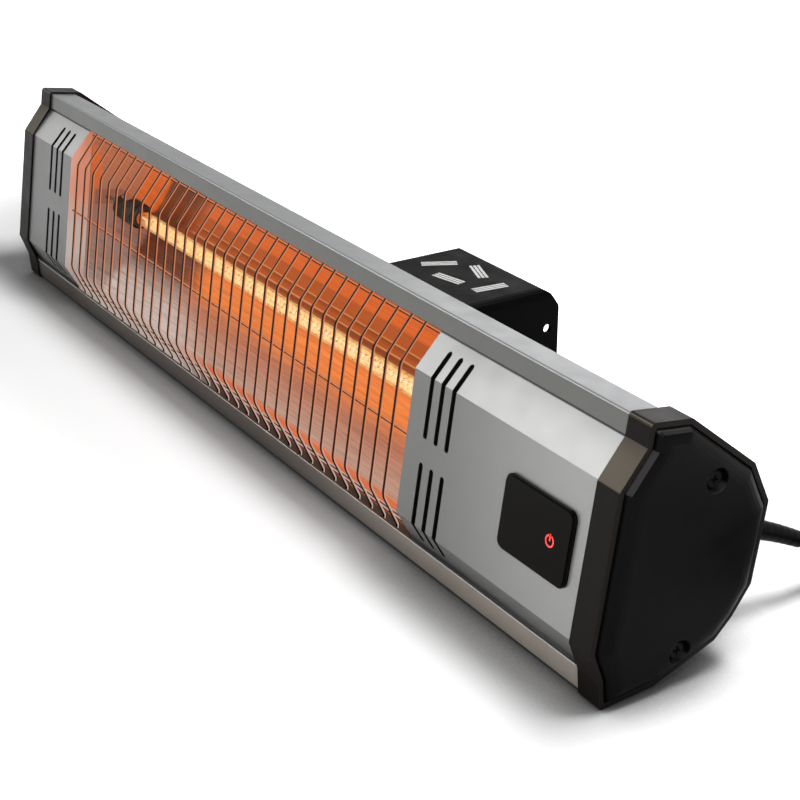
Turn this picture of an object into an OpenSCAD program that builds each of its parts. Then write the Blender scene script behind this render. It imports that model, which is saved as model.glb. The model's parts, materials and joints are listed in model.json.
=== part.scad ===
// Infrared bar heater: a faceted aluminium case with a quartz lamp behind a wire guard,
// a touch switch beside it, and a channel-shaped mounting arm that pivots at its back.
// Millimetres. X runs along the bar, the front faces -Y and Z is up. The origin is on the
// floor under the middle of the heater, without its cord. The case leans back: it stands
// on the front lower edges of its end frames and on the lower edges of the arm.

/* [Case] */
// Length over the outer edges of the two end frames
case_len = 650; // [620:1:690]
// Height of the end frames
case_h = 133; // [130:0.5:138]
// Depth of the case behind the plane of its top lip
case_depth = 77.4; // [75:0.2:82]
// How far the front stands out before the top lip
front_out = 10.8; // [9:0.2:12]
// Height of the top lip
lip_h = 11.2; // [10:0.1:12.5]
// Height of the bottom rail
rail_h = 13.8; // [13:0.1:15.5]
// How far the top of the bottom rail stands out before its foot
rail_out = 3.2; // [2.4:0.1:4]
// Height of the sloping strip under the top lip
upper_slope_h = 18.4; // [16:0.2:21]
// Height of the sloping strip over the bottom rail
lower_slope_h = 14; // [12:0.2:16]
// Width of the end frames' flat top
top_flat = 22.4; // [20:0.2:26]
// How much narrower the shell's flat top is
top_step = 3.8; // [2:0.2:5]
// Drop of the shoulder behind the flat top
shoulder_drop = 24.6; // [22:0.2:28]
// How far the shoulder lies in from the back
shoulder_in = 13.2; // [12:0.2:16]
// Drop from the top to the upper edge of the back flat
back_drop = 44; // [42:0.5:47]
// Height of the lower edge of the back flat
back_low = 48.6; // [46:0.2:51]
// Height of the bend halfway between the heel and the back flat
ankle_h = 33.6; // [32:0.2:35]
// How far that bend lies in from the back
ankle_in = 7.8; // [7:0.1:8.6]
// Height of the heel, where the underside turns up
heel_h = 23.1; // [22:0.1:24.5]
// How far the heel lies in from the back
heel_in = 15.9; // [15:0.1:17]
// Depth of the nearly flat underside
under_w = 29.4; // [27:0.2:32]
// Rise of the underside over that depth
under_rise = 6.2; // [5.6:0.1:7]
// Angle at which the case leans back
lean = 8.45; // [7.5:0.05:9.5]
// Wall of the aluminium shell
shell_wall = 1.6; // [1.3:0.1:2]
// Width of the wall left behind each screw port
port_r = 4; // [3.6:0.1:4.6]

/* [End frames and covers] */
// How far the end frames stand proud of the shell
band_proud = 1.3; // [1:0.1:1.8]
// Width of the end frames along the bar
band_w = 14.6; // [13:0.2:18]
// Rounding of the edges along the bar
corner_r = 2; // [1.5:0.1:2.6]
// Wall of the rim round each end cover
rim_t = 2.6; // [2.2:0.1:3.2]
// Width of the groove between the rim and the end cover
groove_w = 0.9; // [0.6:0.1:1.2]
// Depth of the recess that holds the end cover
cover_seat = 4; // [3.4:0.1:5]
// Thickness of the wall between the shell and the end cover
frame_wall = 2.8; // [2.2:0.1:3.4]
// How far the end cover is crowned beyond the rim
crown = 4; // [3:0.2:5.5]
// Width of the crown's soft edge
crown_in = 8; // [6:0.2:9]
// Diameter of the recesses for the cover's screw heads
recess_d = 12; // [10.5:0.2:13]
// Diameter of the cover's screws
cover_screw_d = 3.8; // [3.4:0.1:4.2]

/* [Front panels] */
// Width of the left panel, from the opening to the end
left_w = 79.5; // [76:0.5:84]
// Width of the right panel, from the opening to the end
right_w = 154; // [148:0.5:160]
// Thickness of the panels' sheet
panel_t = 1; // [0.8:0.1:1.2]
// Depth of the flange that each panel turns in beside the opening
flange_in = 14; // [11:0.5:15]
// Length of the panels' tongues behind the lip and the rail
tongue_h = 5; // [4:0.2:6]
// Width of the cooling slots
slot_w = 3.3; // [2.6:0.1:4]
// Distance between neighbouring slots
slot_pitch = 9; // [8:0.1:10]
// Number of slots side by side
slot_count = 3; // [2:1:4]
// Distance from the opening to the first slot
slot_edge = 15; // [13:0.2:18]
// Distance from the lip down to the slots
slot_drop = 6.3; // [5:0.1:8]
// Distance from the rail up to the slots
slot_rise = 3.2; // [2.6:0.1:5]
// Distance between the upper and the lower slots
slot_gap = 12.2; // [10:0.2:16]

/* [Touch switch] */
// Width of the glossy window
win_w = 49.4; // [46:0.2:54]
// Height of the window
win_h = 36.6; // [32:0.2:40]
// How far the window stands out of the panel
win_t = 2.4; // [1.6:0.1:2.8]
// Rounding of the window's corners
win_r = 4.5; // [3:0.1:6]
// Distance from the window's middle to the end of the case
win_end = 47.8; // [46:0.2:54]
// Diameter of the lit power symbol
symbol_d = 5.9; // [4.6:0.1:6.6]
// How far the symbol lies to the side of the window's middle
symbol_side = 11.4; // [8:0.2:13]

/* [Guard] */
// Diameter of the upright wires
wire_d = 2; // [1.6:0.1:2.4]
// Distance between neighbouring uprights
wire_pitch = 12.28; // [11:0.02:14]
// Distance from the opening's left edge to the first upright
wire_margin = 9.2; // [7:0.1:11]
// Radius of the uprights' two main bends
wire_bend = 9; // [7:0.5:10]
// Diameter of the cross wires
cross_d = 1.8; // [1.5:0.1:2.2]

/* [Lamp] */
// Diameter of the quartz tube
tube_d = 10.2; // [9.6:0.1:11]
// Wall of the quartz tube
tube_wall = 1; // [0.8:0.1:1.2]
// Distance from each ceramic to its bulkhead
ceramic_set = 28; // [25:0.5:31]
// How far the lamp's axis lies behind the lip plane
lamp_y = 30; // [29:0.2:31]
// How far the lamp's axis lies over the middle of the opening
lamp_up = 1.7; // [1:0.1:2.2]
// Number of curls of the heating coil
curls = 70; // [60:1:74]
// Diameter over the curls
curl_d = 7.4; // [6.4:0.1:7.6]
// Diameter of the coil's wire
coil_wire_d = 1.5; // [1.2:0.1:1.8]
// Diameter of the ceramics
ceramic_d = 17; // [16:0.2:18]
// Length of the ceramics' bodies
ceramic_len = 26; // [24:0.5:30]
// Diameter of the ceramics' necks round the tube
neck_d = 13.6; // [13.2:0.1:14.4]
// Length of the necks
neck_len = 5; // [4:0.5:7]

/* [Reflector] */
// Thickness of the polished sheet
reflector_t = 0.8; // [0.6:0.1:1]
// Depth of the reflector at its middle
reflector_depth = 43.5; // [42.5:0.1:45]
// Height between its two outer creases
knee_h = 31.4; // [29:0.2:33]
// How far the outer creases lie before its middle
knee_in = 8; // [7:0.1:9]
// Height between its two inner creases
crease_h = 12.4; // [11:0.2:14]
// How far the inner creases lie before its middle
crease_in = 2; // [1.6:0.1:2.6]
// Distance from the opening to each bulkhead
bulkhead_set = 25.5; // [24:0.5:28]
// Thickness of the bulkheads
bulkhead_t = 1.2; // [1:0.1:1.6]

/* [Mounting arm] */
// Width over the arm's two ears
arm_w = 94; // [88:0.5:100]
// Thickness of the arm's sheet
arm_t = 2.5; // [2:0.1:3]
// Distance from the pivot to the arm's rear edge
arm_reach = 85.1; // [80:0.5:95]
// Height of the arm's web over the pivot
arm_rise = 16.6; // [15:0.2:18]
// Distance from the pivot back to the front edge of the web
web_back = 7; // [6:0.5:12]
// Distance from the pivot back to where the ears meet the floor
foot_back = 37; // [34:0.5:42]
// Size of the ears round the pivot
ear_r = 12; // [11:0.2:13]
// Radius of the holes for a wall plate's bolt, at the arm's rear
mount_hole_r = 2.8; // [2.6:0.1:3.6]
// Distance from those holes to the arm's rear edge
mount_hole_in = 8; // [7:0.2:12]
// Height of those holes over the floor
mount_hole_h = 43; // [38:0.2:48]
// Distance of the pivot behind the back flat
pivot_back = 17; // [16:0.2:19]
// Height of the pivot in the case
pivot_h = 66; // [63:0.5:69]
// Diameter of the pivot bolts
bolt_d = 6; // [5:0.1:6.4]

/* [Cord] */
// Diameter of the mains cord
cord_d = 7; // [6.5:0.1:7.4]
// Number of turns in the stored coil
coil_turns = 6.5; // [6.5:1:6.5]
// Diameter of the stored coil at the middle of its turns
coil_mid_d = 81; // [80.5:0.5:84]

/* [Hidden] */
$fn = 48;
seat_gap = 0.3;     // gap between pieces that only rest on each other
fit_gap = 0.2;      // gap round pieces that plug into each other
pin_gap = 0.05;     // radial running clearance of a bolt in its hole
screw_gap = 0.3;    // radial clearance of a screw in its hole
eps = 0.01;

// ---------- plane geometry: points are [y, z] or any other pair ----------

function unit(v) = v / norm(v);
function turned(v, a) = [v.x * cos(a) - v.y * sin(a), v.x * sin(a) + v.y * cos(a)];
function side(v) = [-v.y, v.x];
function bend_angle(u, v) = atan2(cross(u, v), u * v);
function mitre(u, v) = (side(u) + side(v)) / (1 + side(u) * side(v));

// A closed outline moved inwards by d
function inset(pts, d) = [for (i = [0:len(pts) - 1])
    let (n = len(pts), b = pts[i], u = unit(b - pts[(i + n - 1) % n]), v = unit(pts[(i + 1) % n] - b))
        b + d * mitre(u, v)];

// The arc that rounds corner b between directions u and v
function corner_arc(b, u, v, r, n) =
    let (a = bend_angle(u, v), s = sign(a), p = b - u * r * tan(abs(a) / 2), c = p + s * r * side(u))
        [for (k = [0:n]) c + turned(p - c, a * k / n)];

// A closed outline with its corners rounded; r is one radius or a list of them
function rounded(pts, r, n = 4) = [for (i = [0:len(pts) - 1])
    let (m = len(pts), b = pts[i], u = unit(b - pts[(i + m - 1) % m]), v = unit(pts[(i + 1) % m] - b))
        each corner_arc(b, u, v, is_list(r) ? r[i] : r, n)];

// The two sides of a folded sheet of thickness t along an open line
function path_dir(pts, i) = unit(pts[min(i + 1, len(pts) - 1)] - pts[min(i, len(pts) - 2)]);
function path_side(pts, i, d) =
    let (v = path_dir(pts, i), u = i == 0 ? v : path_dir(pts, i - 1)) pts[i] + d * mitre(u, v);
function sheet_outline(pts, t) = concat(
    [for (i = [0:len(pts) - 1]) path_side(pts, i, t / 2)],
    [for (i = [len(pts) - 1:-1:0]) path_side(pts, i, -t / 2)]);

// ---------- placing ----------

// A shape in the [y, z] plane, drawn out from x0 to x1
module along_x(x0, x1) translate([x0, 0, 0]) rotate([90, 0, 90]) linear_extrude(x1 - x0) children();
// A shape in the [x, z] plane, drawn out from y0 to y1
module along_y(y0, y1) translate([0, y1, 0]) rotate([90, 0, 0]) linear_extrude(y1 - y0) children();
module rod_x(x0, x1, r) translate([x0, 0, 0]) rotate([0, 90, 0]) cylinder(r = r, h = x1 - x0);
module rod_y(y0, y1, r) translate([0, y0, 0]) rotate([-90, 0, 0]) cylinder(r = r, h = y1 - y0);
module on_both_ends() for (s = [-1, 1]) scale_x(s) children();
module scale_x(s) if (s < 0) mirror([1, 0, 0]) children(); else children();
module slab(w, h, r)
    polygon(rounded([[-w / 2, -h / 2], [w / 2, -h / 2], [w / 2, h / 2], [-w / 2, h / 2]], r, 6));

// Triangles between m rings of n points each, in the order of the rings
function band_faces(n, m) = [for (j = [0:m - 2]) for (k = [0:n - 1])
    let (a = j * n + k, b = j * n + (k + 1) % n) each [[a, a + n, b], [b, a + n, b + n]]];

// ---------- the case's cross-section, seen from its right end ----------

end_x = case_len / 2;
lip_z = case_h - lip_h;
opening_h = lip_z - rail_h;
middle_z = rail_h + opening_h / 2;
case_outline = [
    [0, case_h],
    [0, lip_z],
    [-front_out, lip_z - upper_slope_h],
    [-front_out, rail_h + lower_slope_h],
    [-rail_out, rail_h],
    [0, 0],
    [under_w, under_rise],
    [case_depth - heel_in, heel_h],
    [case_depth - ankle_in, ankle_h],
    [case_depth, back_low],
    [case_depth, case_h - back_drop],
    [case_depth - shoulder_in, case_h - shoulder_drop],
    [top_flat, case_h]];
// The shell's outline is the same but for its narrower flat top
shell_outline = concat([for (i = [0:11]) case_outline[i]], [[top_flat - top_step, case_h]]);
UPPER_BEND = 2;     // places of the front's two bends in the outline
LOWER_BEND = 3;
band_outline = rounded(case_outline, corner_r);

// From the case's own [y, z] to the leaning case's
function leaned(p) = [p.x * cos(lean) + p.y * sin(lean), p.y * cos(lean) - p.x * sin(lean)];
leaning_outline = [for (p = band_outline) leaned(p)];
lift = -min([for (p = leaning_outline) p.y]);
pivot_case = [case_depth + pivot_back, pivot_h];
pivot = leaned(pivot_case) + [0, lift];
arm_rear = pivot.x + arm_reach;
arm_top = pivot.y + arm_rise;
mid_y = (min([for (p = leaning_outline) p.x]) + arm_rear) / 2;

module in_case() translate([0, -mid_y, lift]) rotate([-lean, 0, 0]) children();
module on_floor() translate([0, -mid_y, 0]) children();

// ---------- places along the bar and in the case ----------

band_x = end_x - band_w;
cover_x = end_x - cover_seat;
shell_x = cover_x - frame_wall - fit_gap;
open_x0 = -end_x + left_w;
open_x1 = end_x - right_w;
open_mid = (open_x0 + open_x1) / 2;
bulk_x0 = open_x0 - bulkhead_set;
bulk_x1 = open_x1 + bulkhead_set;
skin_in = band_proud + shell_wall;
back_in = case_depth - skin_in;
back_out = case_depth - band_proud;
back_flat_h = case_h - back_drop - back_low;
back_mid = back_low + back_flat_h / 2;

// Grooves behind the lip and the rail: panel or wires in front, reflector behind
slot_wire = skin_in + seat_gap;
groove_back = max(wire_d, panel_t) + 2 * seat_gap + reflector_t;
rail_skin = skin_in / cos(atan(rail_out / rail_h)) - rail_out * (rail_h - tongue_h - 2) / rail_h;
rib_t = 1.4;
top_rib = slot_wire + groove_back;
rail_rib = rail_skin + seat_gap + groove_back;

// Screw ports: the cover's screws run into them
port_up = [39.5, case_h - 28.5];
port_low = [37.4, 23.5];
screw_r = cover_screw_d / 2;

// The foot of the perpendicular from p to the edge from a to b
function foot_on(p, a, b) = a + unit(b - a) * ((p - a) * unit(b - a));
port_up_root = foot_on(port_up, shell_outline[11], shell_outline[12]);
port_low_root = foot_on(port_low, case_outline[6], case_outline[7]);

module port_stem(p, root, w) {
    reach = norm(root - p) - skin_in + 0.8;
    translate(p) rotate(atan2(root.y - p.y, root.x - p.x)) translate([0, -w / 2]) square([reach, w]);
}
module port_shape(grow) {
    for (p = [port_up, port_low]) translate(p) circle(port_r + grow);
    port_stem(port_up, port_up_root, 2 + 2 * grow);
    port_stem(port_low, port_low_root, 2 + 2 * grow);
}
module rib_top() {
    z0 = lip_z + 3;
    translate([top_rib, z0]) square([rib_t, case_h - skin_in + 0.5 - z0]);
}
module rib_rail() {
    z0 = skin_in;
    translate([rail_rib, z0]) square([rib_t, rail_h - 1.6 - z0]);
}

module shell_section() {
    difference() {
        polygon(rounded(inset(shell_outline, band_proud), corner_r - 0.7));
        polygon(rounded(inset(shell_outline, skin_in), 0.6));
        translate([-2 * front_out, rail_h]) square([2 * front_out + top_rib, opening_h]);
    }
    difference() {
        union() {
            rib_top();
            rib_rail();
            port_shape(0);
        }
        for (p = [port_up, port_low]) translate(p) circle(screw_r + pin_gap);
    }
}

module housing_shell() color([0.72, 0.73, 0.74]) in_case() difference() {
    along_x(-shell_x, shell_x) shell_section();
    // hole for the cord gland and holes for the pivot bracket's screws
    translate([gland_x, 0, gland_h]) rod_y(back_in - 2, case_depth, gland_neck_r + fit_gap);
    bracket_screw_places() rod_y(back_in - 2, case_depth, bracket_screw_r + pin_gap);
    board_places() rod_y(back_in - 2, case_depth, board_screw_r + pin_gap);
}

// ---------- end frames and end covers ----------

module end_frame() color([0.13, 0.12, 0.115]) difference() {
    along_x(band_x, end_x) polygon(band_outline);
    along_x(band_x - eps, shell_x + fit_gap)
        polygon(rounded(inset(shell_outline, band_proud - fit_gap / 2), corner_r - 0.6));
    along_x(cover_x, end_x + eps) polygon(rounded(inset(case_outline, rim_t), 0.8));
    screw_axes() rod_x(band_x, end_x + crown, screw_r + screw_gap);
}
module screw_axes() for (p = [port_up, port_low]) translate([0, p.x, p.y]) children();

// Rings of the crowned cover: [x, inset]
cover_in = rim_t + groove_w;
crown_steps = 5;
cover_rings = concat([[cover_x + fit_gap, cover_in]],
    [for (k = [0:crown_steps]) let (a = 90 * k / crown_steps)
        [end_x - 0.5 + (crown + 0.5) * sin(a), cover_in + crown_in * (1 - cos(a))]]);
function ring_at(x, d) = [for (p = rounded(inset(case_outline, d), 1, 3)) [x, p.x, p.y]];
// A closed skin through rings of equally many points each
module skin(rings) {
    n = len(rings[0]);
    m = len(rings);
    polyhedron(points = [for (r = rings) each r], faces = concat(
        [[for (k = [0:n - 1]) k]], band_faces(n, m), [[for (k = [n - 1:-1:0]) (m - 1) * n + k]]));
}
head_seat_x = end_x - 0.4;
module end_cover() color([0.09, 0.09, 0.09]) difference() {
    skin([for (r = cover_rings) ring_at(r.x, r.y)]);
    // hollow behind, with a pillar round each screw
    along_x(cover_x - 1, end_x - 0.6) difference() {
        polygon(inset(case_outline, cover_in + 2.4));
        for (p = [port_up, port_low]) translate(p) circle(recess_d / 2 + 2);
    }
    screw_axes() {
        rod_x(head_seat_x, end_x + crown + 1, recess_d / 2);
        rod_x(cover_x - 1, end_x + 1, screw_r + screw_gap);
    }
}
module end_frame_left() in_case() mirror([1, 0, 0]) end_frame();
module end_frame_right() in_case() end_frame();
module end_cover_left() in_case() mirror([1, 0, 0]) end_cover();
module end_cover_right() in_case() end_cover();

cross_l = 4.4;      // the screws' cross recesses
cross_w = 1;
cover_head_h = 2.4;
module end_cover_screws() color([0.25, 0.25, 0.26]) in_case() on_both_ends() screw_axes() {
    difference() {
        rod_x(head_seat_x, head_seat_x + cover_head_h, 2 * screw_r);
        for (a = [0, 90]) rotate([a, 0, 0])
            translate([head_seat_x + cover_head_h / 2, -cross_w / 2, -cross_l / 2])
                cube([cover_head_h, cross_w, cross_l]);
    }
    rod_x(shell_x - 14, head_seat_x, screw_r);
}

// ---------- front panels ----------

function bend_at(i, d) = inset(case_outline, d)[i];
tongue_y = slot_wire + panel_t / 2;
rail_tongue_y = rail_skin + seat_gap + panel_t / 2;
panel_path = [
    [tongue_y, lip_z + tongue_h],
    [tongue_y, lip_z - 0.6],
    bend_at(UPPER_BEND, band_proud + panel_t / 2),
    bend_at(LOWER_BEND, band_proud + panel_t / 2),
    [rail_tongue_y, rail_h - 0.2],
    [rail_tongue_y, rail_h - tongue_h]];
panel_face = -front_out + band_proud;       // outer face of the panels' flat front
slot_top = lip_z - slot_drop;
slot_low = rail_h + slot_rise;
slot_mid = (slot_top + slot_low) / 2;

// A flange behind the panel's bends, deep enough to hide the case's inside
flange_back = panel_face + flange_in;
flange_outline = concat([for (i = [1:4]) path_side(panel_path, i, panel_t / 4)],
    [[rail_skin + seat_gap + panel_t, rail_h + 0.3], [flange_back, rail_h + 5], [flange_back, lip_z - 0.8]]);

module slots() for (z = [[slot_mid + slot_gap / 2, slot_top], [slot_low, slot_mid - slot_gap / 2]])
    for (k = [0:slot_count - 1]) translate([slot_edge + k * slot_pitch, (z[0] + z[1]) / 2])
        slab(slot_w, z[1] - z[0], slot_w / 2 - eps);

// x runs away from the opening
module front_panel(w) {
    difference() {
        along_x(0, w - (end_x - shell_x)) polygon(sheet_outline(panel_path, panel_t));
        along_y(-2 * front_out, 1.6) slots();
    }
    along_x(0, panel_t) polygon(flange_outline);
}
module front_panel_left() color([0.74, 0.75, 0.75]) in_case()
    translate([open_x0, 0, 0]) mirror([1, 0, 0]) front_panel(left_w);
module front_panel_right() color([0.74, 0.75, 0.75]) in_case() difference() {
    translate([open_x1, 0, 0]) front_panel(right_w);
    translate([win_x, 0, win_z]) along_y(-2 * front_out, 0) slab(win_w - 8, win_h - 8, 2);
}

// ---------- touch switch ----------

win_x = end_x - win_end;
win_z = slot_mid - 0.4;
plug_in = panel_t + seat_gap;
board_y = panel_face + plug_in + seat_gap;
win_bevel = 0.9;
symbol_t = 0.5;
module symbol_shape(grow) {
    r = symbol_d / 2;
    difference() {
        circle(r + grow);
        circle(r - 0.75 - grow);
        translate([-r * 0.34 + grow, 0]) square([r * 0.68 - 2 * grow, 2 * r]);
    }
    translate([-0.37 - grow, -grow]) square([0.74 + 2 * grow, r + 0.4 + 2 * grow]);
}
module at_window() in_case() translate([win_x, panel_face, win_z]) children();
module touch_window() color([0.03, 0.03, 0.03]) at_window() difference() {
    union() {
        along_y(-win_t + win_bevel, 0) slab(win_w, win_h, win_r);
        along_y(-win_t, -win_t + win_bevel)
            slab(win_w - 2 * win_bevel, win_h - 2 * win_bevel, win_r - win_bevel);
        along_y(0, plug_in) slab(win_w - 8 - 2 * seat_gap, win_h - 8 - 2 * seat_gap, 2);
    }
    translate([symbol_side, 0, 0]) along_y(-win_t - eps, -win_t + symbol_t) symbol_shape(0.05);
}
module power_symbol() color([0.95, 0.15, 0.12]) at_window()
    translate([symbol_side, 0, 0]) along_y(-win_t - 0.02, -win_t + symbol_t - 0.02) symbol_shape(0);
module touch_board() color([0.1, 0.35, 0.2]) at_window() translate([0, board_y - panel_face, 0]) {
    along_y(0, 1.6) slab(win_w + 6, win_h + 4, 1);
    for (x = [-1, 1], z = [-1, 1])
        translate([x * (win_w / 2 + 0.5), 0, z * (win_h / 2 - 1)]) rod_y(-seat_gap, 0, 2);
    translate([-6, 1.6, -4]) cube([12, 4, 7]);
}

// ---------- guard ----------

wire_r = wire_d / 2;
wire_y = slot_wire + wire_r;
rail_wire_y = rail_skin + seat_gap + wire_r;
wire_set = 0.2;     // the wires' faces lie this far behind the panels' faces
wire_upper = bend_at(UPPER_BEND, band_proud + wire_set + wire_r) - [0, 2];
wire_lower = bend_at(LOWER_BEND, band_proud + wire_set + wire_r) + [0, 2];
wire_path = [
    [wire_y, lip_z + tongue_h],
    [wire_y, lip_z - 0.4],
    wire_upper,
    wire_lower,
    [rail_wire_y, rail_h - 0.4],
    [rail_wire_y, rail_h - tongue_h - 1]];
wire_bends = [3, wire_bend, wire_bend, 3];
wire_bent = concat([wire_path[0]], [for (i = [1:4])
    each corner_arc(wire_path[i], path_dir(wire_path, i - 1), path_dir(wire_path, i), wire_bends[i - 1], 2)],
    [wire_path[5]]);
wire_points = [for (p = wire_bent) [0, p.x, p.y]];
wire_count = floor((open_x1 - open_x0 - wire_margin - 4) / wire_pitch) + 1;

module guard_uprights() color([0.32, 0.24, 0.22]) in_case()
    for (k = [0:wire_count - 1]) translate([open_x0 + wire_margin + k * wire_pitch, 0, 0])
        swept(longer_ends(wire_points), same(wire_r, len(wire_points)), 6, [1, 0, 0]);

// Cross wires lie just behind the uprights: under the lip, at the middle and over the rail
cross_back = wire_r + cross_d / 2;
top_cross_at = 2.2; // distance of the top cross wire from the lip
cross_gap = 1.5;    // between a cross wire's end and the panel beside it
function beside(a, b, at, d) = a + unit(b - a) * at + side(unit(b - a)) * d;
lower_run = norm(wire_path[4] - wire_lower);
cross_places = [
    beside(wire_path[1], wire_upper, top_cross_at, cross_back),
    [wire_lower.x + cross_back, middle_z],
    beside(wire_lower, wire_path[4], lower_run - 8.2, cross_back),
    beside(wire_lower, wire_path[4], lower_run - 4, cross_back)];
module guard_cross_wires() color([0.32, 0.24, 0.22]) in_case()
    for (p = cross_places) translate([0, p.x, p.y])
        rod_x(open_x0 + cross_gap, open_x1 - cross_gap, cross_d / 2);

// ---------- reflector and bulkheads ----------

fold_y = top_rib - seat_gap - reflector_t / 2;
rail_fold_y = rail_rib - seat_gap - reflector_t / 2;
reflector_path = [
    [fold_y, case_h - skin_in - 2],
    [fold_y, lip_z - 2],
    [reflector_depth - knee_in, middle_z + knee_h / 2],
    [reflector_depth - crease_in, middle_z + crease_h / 2],
    [reflector_depth, middle_z],
    [reflector_depth - crease_in, middle_z - crease_h / 2],
    [reflector_depth - knee_in, middle_z - knee_h / 2],
    [rail_fold_y, rail_h + 2.5],
    [rail_fold_y, rail_h - tongue_h]];

module reflector() color([0.85, 0.8, 0.75]) in_case()
    along_x(bulk_x0 + fit_gap / 2, bulk_x1 - fit_gap / 2) polygon(sheet_outline(reflector_path, reflector_t));

// A bulkhead fills the shell behind its ribs; it is slipped over the screw ports
bulk_front = max(top_rib, rail_rib) + rib_t + seat_gap;
module bulkhead(x0) color([0.7, 0.7, 0.71]) difference() {
    along_x(x0, x0 + bulkhead_t) difference() {
        intersection() {
            polygon(rounded(inset(shell_outline, skin_in + seat_gap), 1));
            translate([bulk_front, 0]) square([2 * case_depth, 2 * case_h]);
        }
        port_shape(seat_gap);
        // way for the wires behind the reflector
        translate(wire_way) circle(6);
    }
    translate([0, lamp_y, lamp_z]) rod_x(x0 - 1, x0 + bulkhead_t + 1, lead_r + 1);
    for (y = holder_screws) translate([0, lamp_y + y, lamp_z])
        rod_x(x0 - 1, x0 + bulkhead_t + 1, holder_screw_r + pin_gap);
}
wire_way = [62, 46];
module bulkhead_left() in_case() bulkhead(bulk_x0 - bulkhead_t);
module bulkhead_right() in_case() bulkhead(bulk_x1);

// ---------- lamp ----------

lamp_z = middle_z + lamp_up;
tube_r = tube_d / 2;
tube_len = open_x1 - open_x0 + 2 * (bulkhead_set - ceramic_set - ceramic_len - neck_len);
tube_x = tube_len / 2;
bury = 6;           // how far the tube reaches into each ceramic
coil_r = curl_d / 2 - coil_wire_d / 2;
lead_r = 1.1;
holder_screw_r = 1.5;
module at_lamp() in_case() translate([open_mid, lamp_y, lamp_z]) children();

module quartz_tube() color([1, 0.86, 0.6, 0.5]) at_lamp() difference() {
    rod_x(-tube_x - bury, tube_x + bury, tube_r);
    rod_x(-tube_x - bury - 1, tube_x + bury + 1, tube_r - tube_wall);
}

// A tube of radius r along points, its rings square to the way, without any twist about axis ref.
// way holds the point before the first and after the last ring too.
function ring_on(way, i, r, n, ref) =
    let (t = unit(way[i + 1] - way[i - 1]), u = unit(cross(t, ref)), v = cross(t, u))
        [for (k = [0:n - 1]) way[i] + r * (cos(360 * (k + 0.5) / n) * u + sin(360 * (k + 0.5) / n) * v)];
module swept(way, radii, n, ref) {
    m = len(way) - 2;
    rings = [for (i = [1:m]) ring_on(way, i, radii[i - 1], n, ref)];
    polyhedron(points = [for (r = rings) each r], faces = concat([for (k = [1:n - 2]) [0, k, k + 1]],
        band_faces(n, m), [for (k = [1:n - 2]) let (a = (m - 1) * n) [a, a + k + 1, a + k]]));
}
function longer_ends(pts) = concat([2 * pts[0] - pts[1]], pts, [2 * pts[len(pts) - 1] - pts[len(pts) - 2]]);
function same(v, n) = [for (k = [1:n]) v];

// The heating coil: straight on the axis at both ends, opening out to its curls over half a turn
curl_rings = 8;
coil_in = 8;        // length of the coil's straight tail at each end of the tube
coil_span = tube_len - 2 * coil_in;
curl_pitch = coil_span / curls;
function opened(t) = min(1, 2 * t, 2 * (curls - t));
coil_points = concat(
    [[-tube_x - bury / 2, 0, 0], [-tube_x + coil_in - 4.5, 0, 0], [-tube_x + coil_in - 2.5, 0, 0]],
    [for (k = [1:curls * curl_rings - 1]) let (t = k / curl_rings, r = coil_r * opened(t))
        [-coil_span / 2 + curl_pitch * t, r * cos(360 * t), r * sin(360 * t)]],
    [[tube_x - coil_in + 2.5, 0, 0], [tube_x - coil_in + 4.5, 0, 0], [tube_x + bury / 2, 0, 0]]);
module heating_coil() color([1, 0.75, 0.35]) at_lamp()
    swept(longer_ends(coil_points), same(coil_wire_d / 2, len(coil_points)), 6, [1, 0.01, 0.02]);

// Each ceramic grips the tube's end; its neck carries a short rib on top
rib_before = 5;
neck_rib_w = 6;
module lamp_ceramic() difference() {
    union() {
        rod_x(tube_x + neck_len, tube_x + neck_len + ceramic_len, ceramic_d / 2);
        rod_x(tube_x, tube_x + neck_len, neck_d / 2);
        translate([tube_x - rib_before, -neck_rib_w / 2, neck_d / 2 - 1.2])
            cube([rib_before + neck_len + 3, neck_rib_w, 1.6]);
    }
    rod_x(tube_x - rib_before - 1, tube_x + bury + fit_gap, tube_r + fit_gap);
    rod_x(tube_x, tube_x + neck_len + ceramic_len + 1, lead_r + fit_gap);
}
module lamp_ceramic_left() color([0.2, 0.19, 0.18]) at_lamp() mirror([1, 0, 0]) lamp_ceramic();
module lamp_ceramic_right() color([0.2, 0.19, 0.18]) at_lamp() lamp_ceramic();

// A spring clip round each ceramic, with a tail behind it and a foot on the bulkhead
clip_t = 1;
clip_w = 9;
clip_foot_t = 1.5;
clip_tail_w = 10;
clip_tail_t = 1.4;
clip_foot_low = 9.5;        // how far the foot reaches below the lamp's axis
holder_screws = [-6.2, 6.2];
holder_x = tube_x + neck_len + ceramic_len - clip_w - 4;
bulk_from_lamp = bulk_x1 - open_mid;
module lamp_holder() rotate([-90, 0, 0]) {
    r = ceramic_d / 2 + fit_gap;
    foot_x = bulk_from_lamp - fit_gap / 2 - clip_foot_t;
    along_x(holder_x, holder_x + clip_w) difference() {
        circle(r + clip_t);
        circle(r);
        polygon([[0, 0], [-2 * r, -1.2 * r], [0, -2 * r], [2 * r, -1.2 * r]]);
    }
    top = r + clip_t;
    translate([holder_x, -clip_tail_w / 2, r])
        cube([foot_x - holder_x + clip_foot_t, clip_tail_w, clip_tail_t]);
    difference() {
        translate([foot_x, -clip_tail_w / 2, -clip_foot_low])
            cube([clip_foot_t, clip_tail_w, clip_foot_low + top + 0.2]);
        rod_x(foot_x - 1, foot_x + 3, lead_r + 1);
    }
    for (z = holder_screws) translate([0, 0, z]) {
        rod_x(foot_x - 1.6, foot_x, 2.3);
        rod_x(foot_x, bulk_from_lamp + bulkhead_t + 2, holder_screw_r);
    }
}
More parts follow.
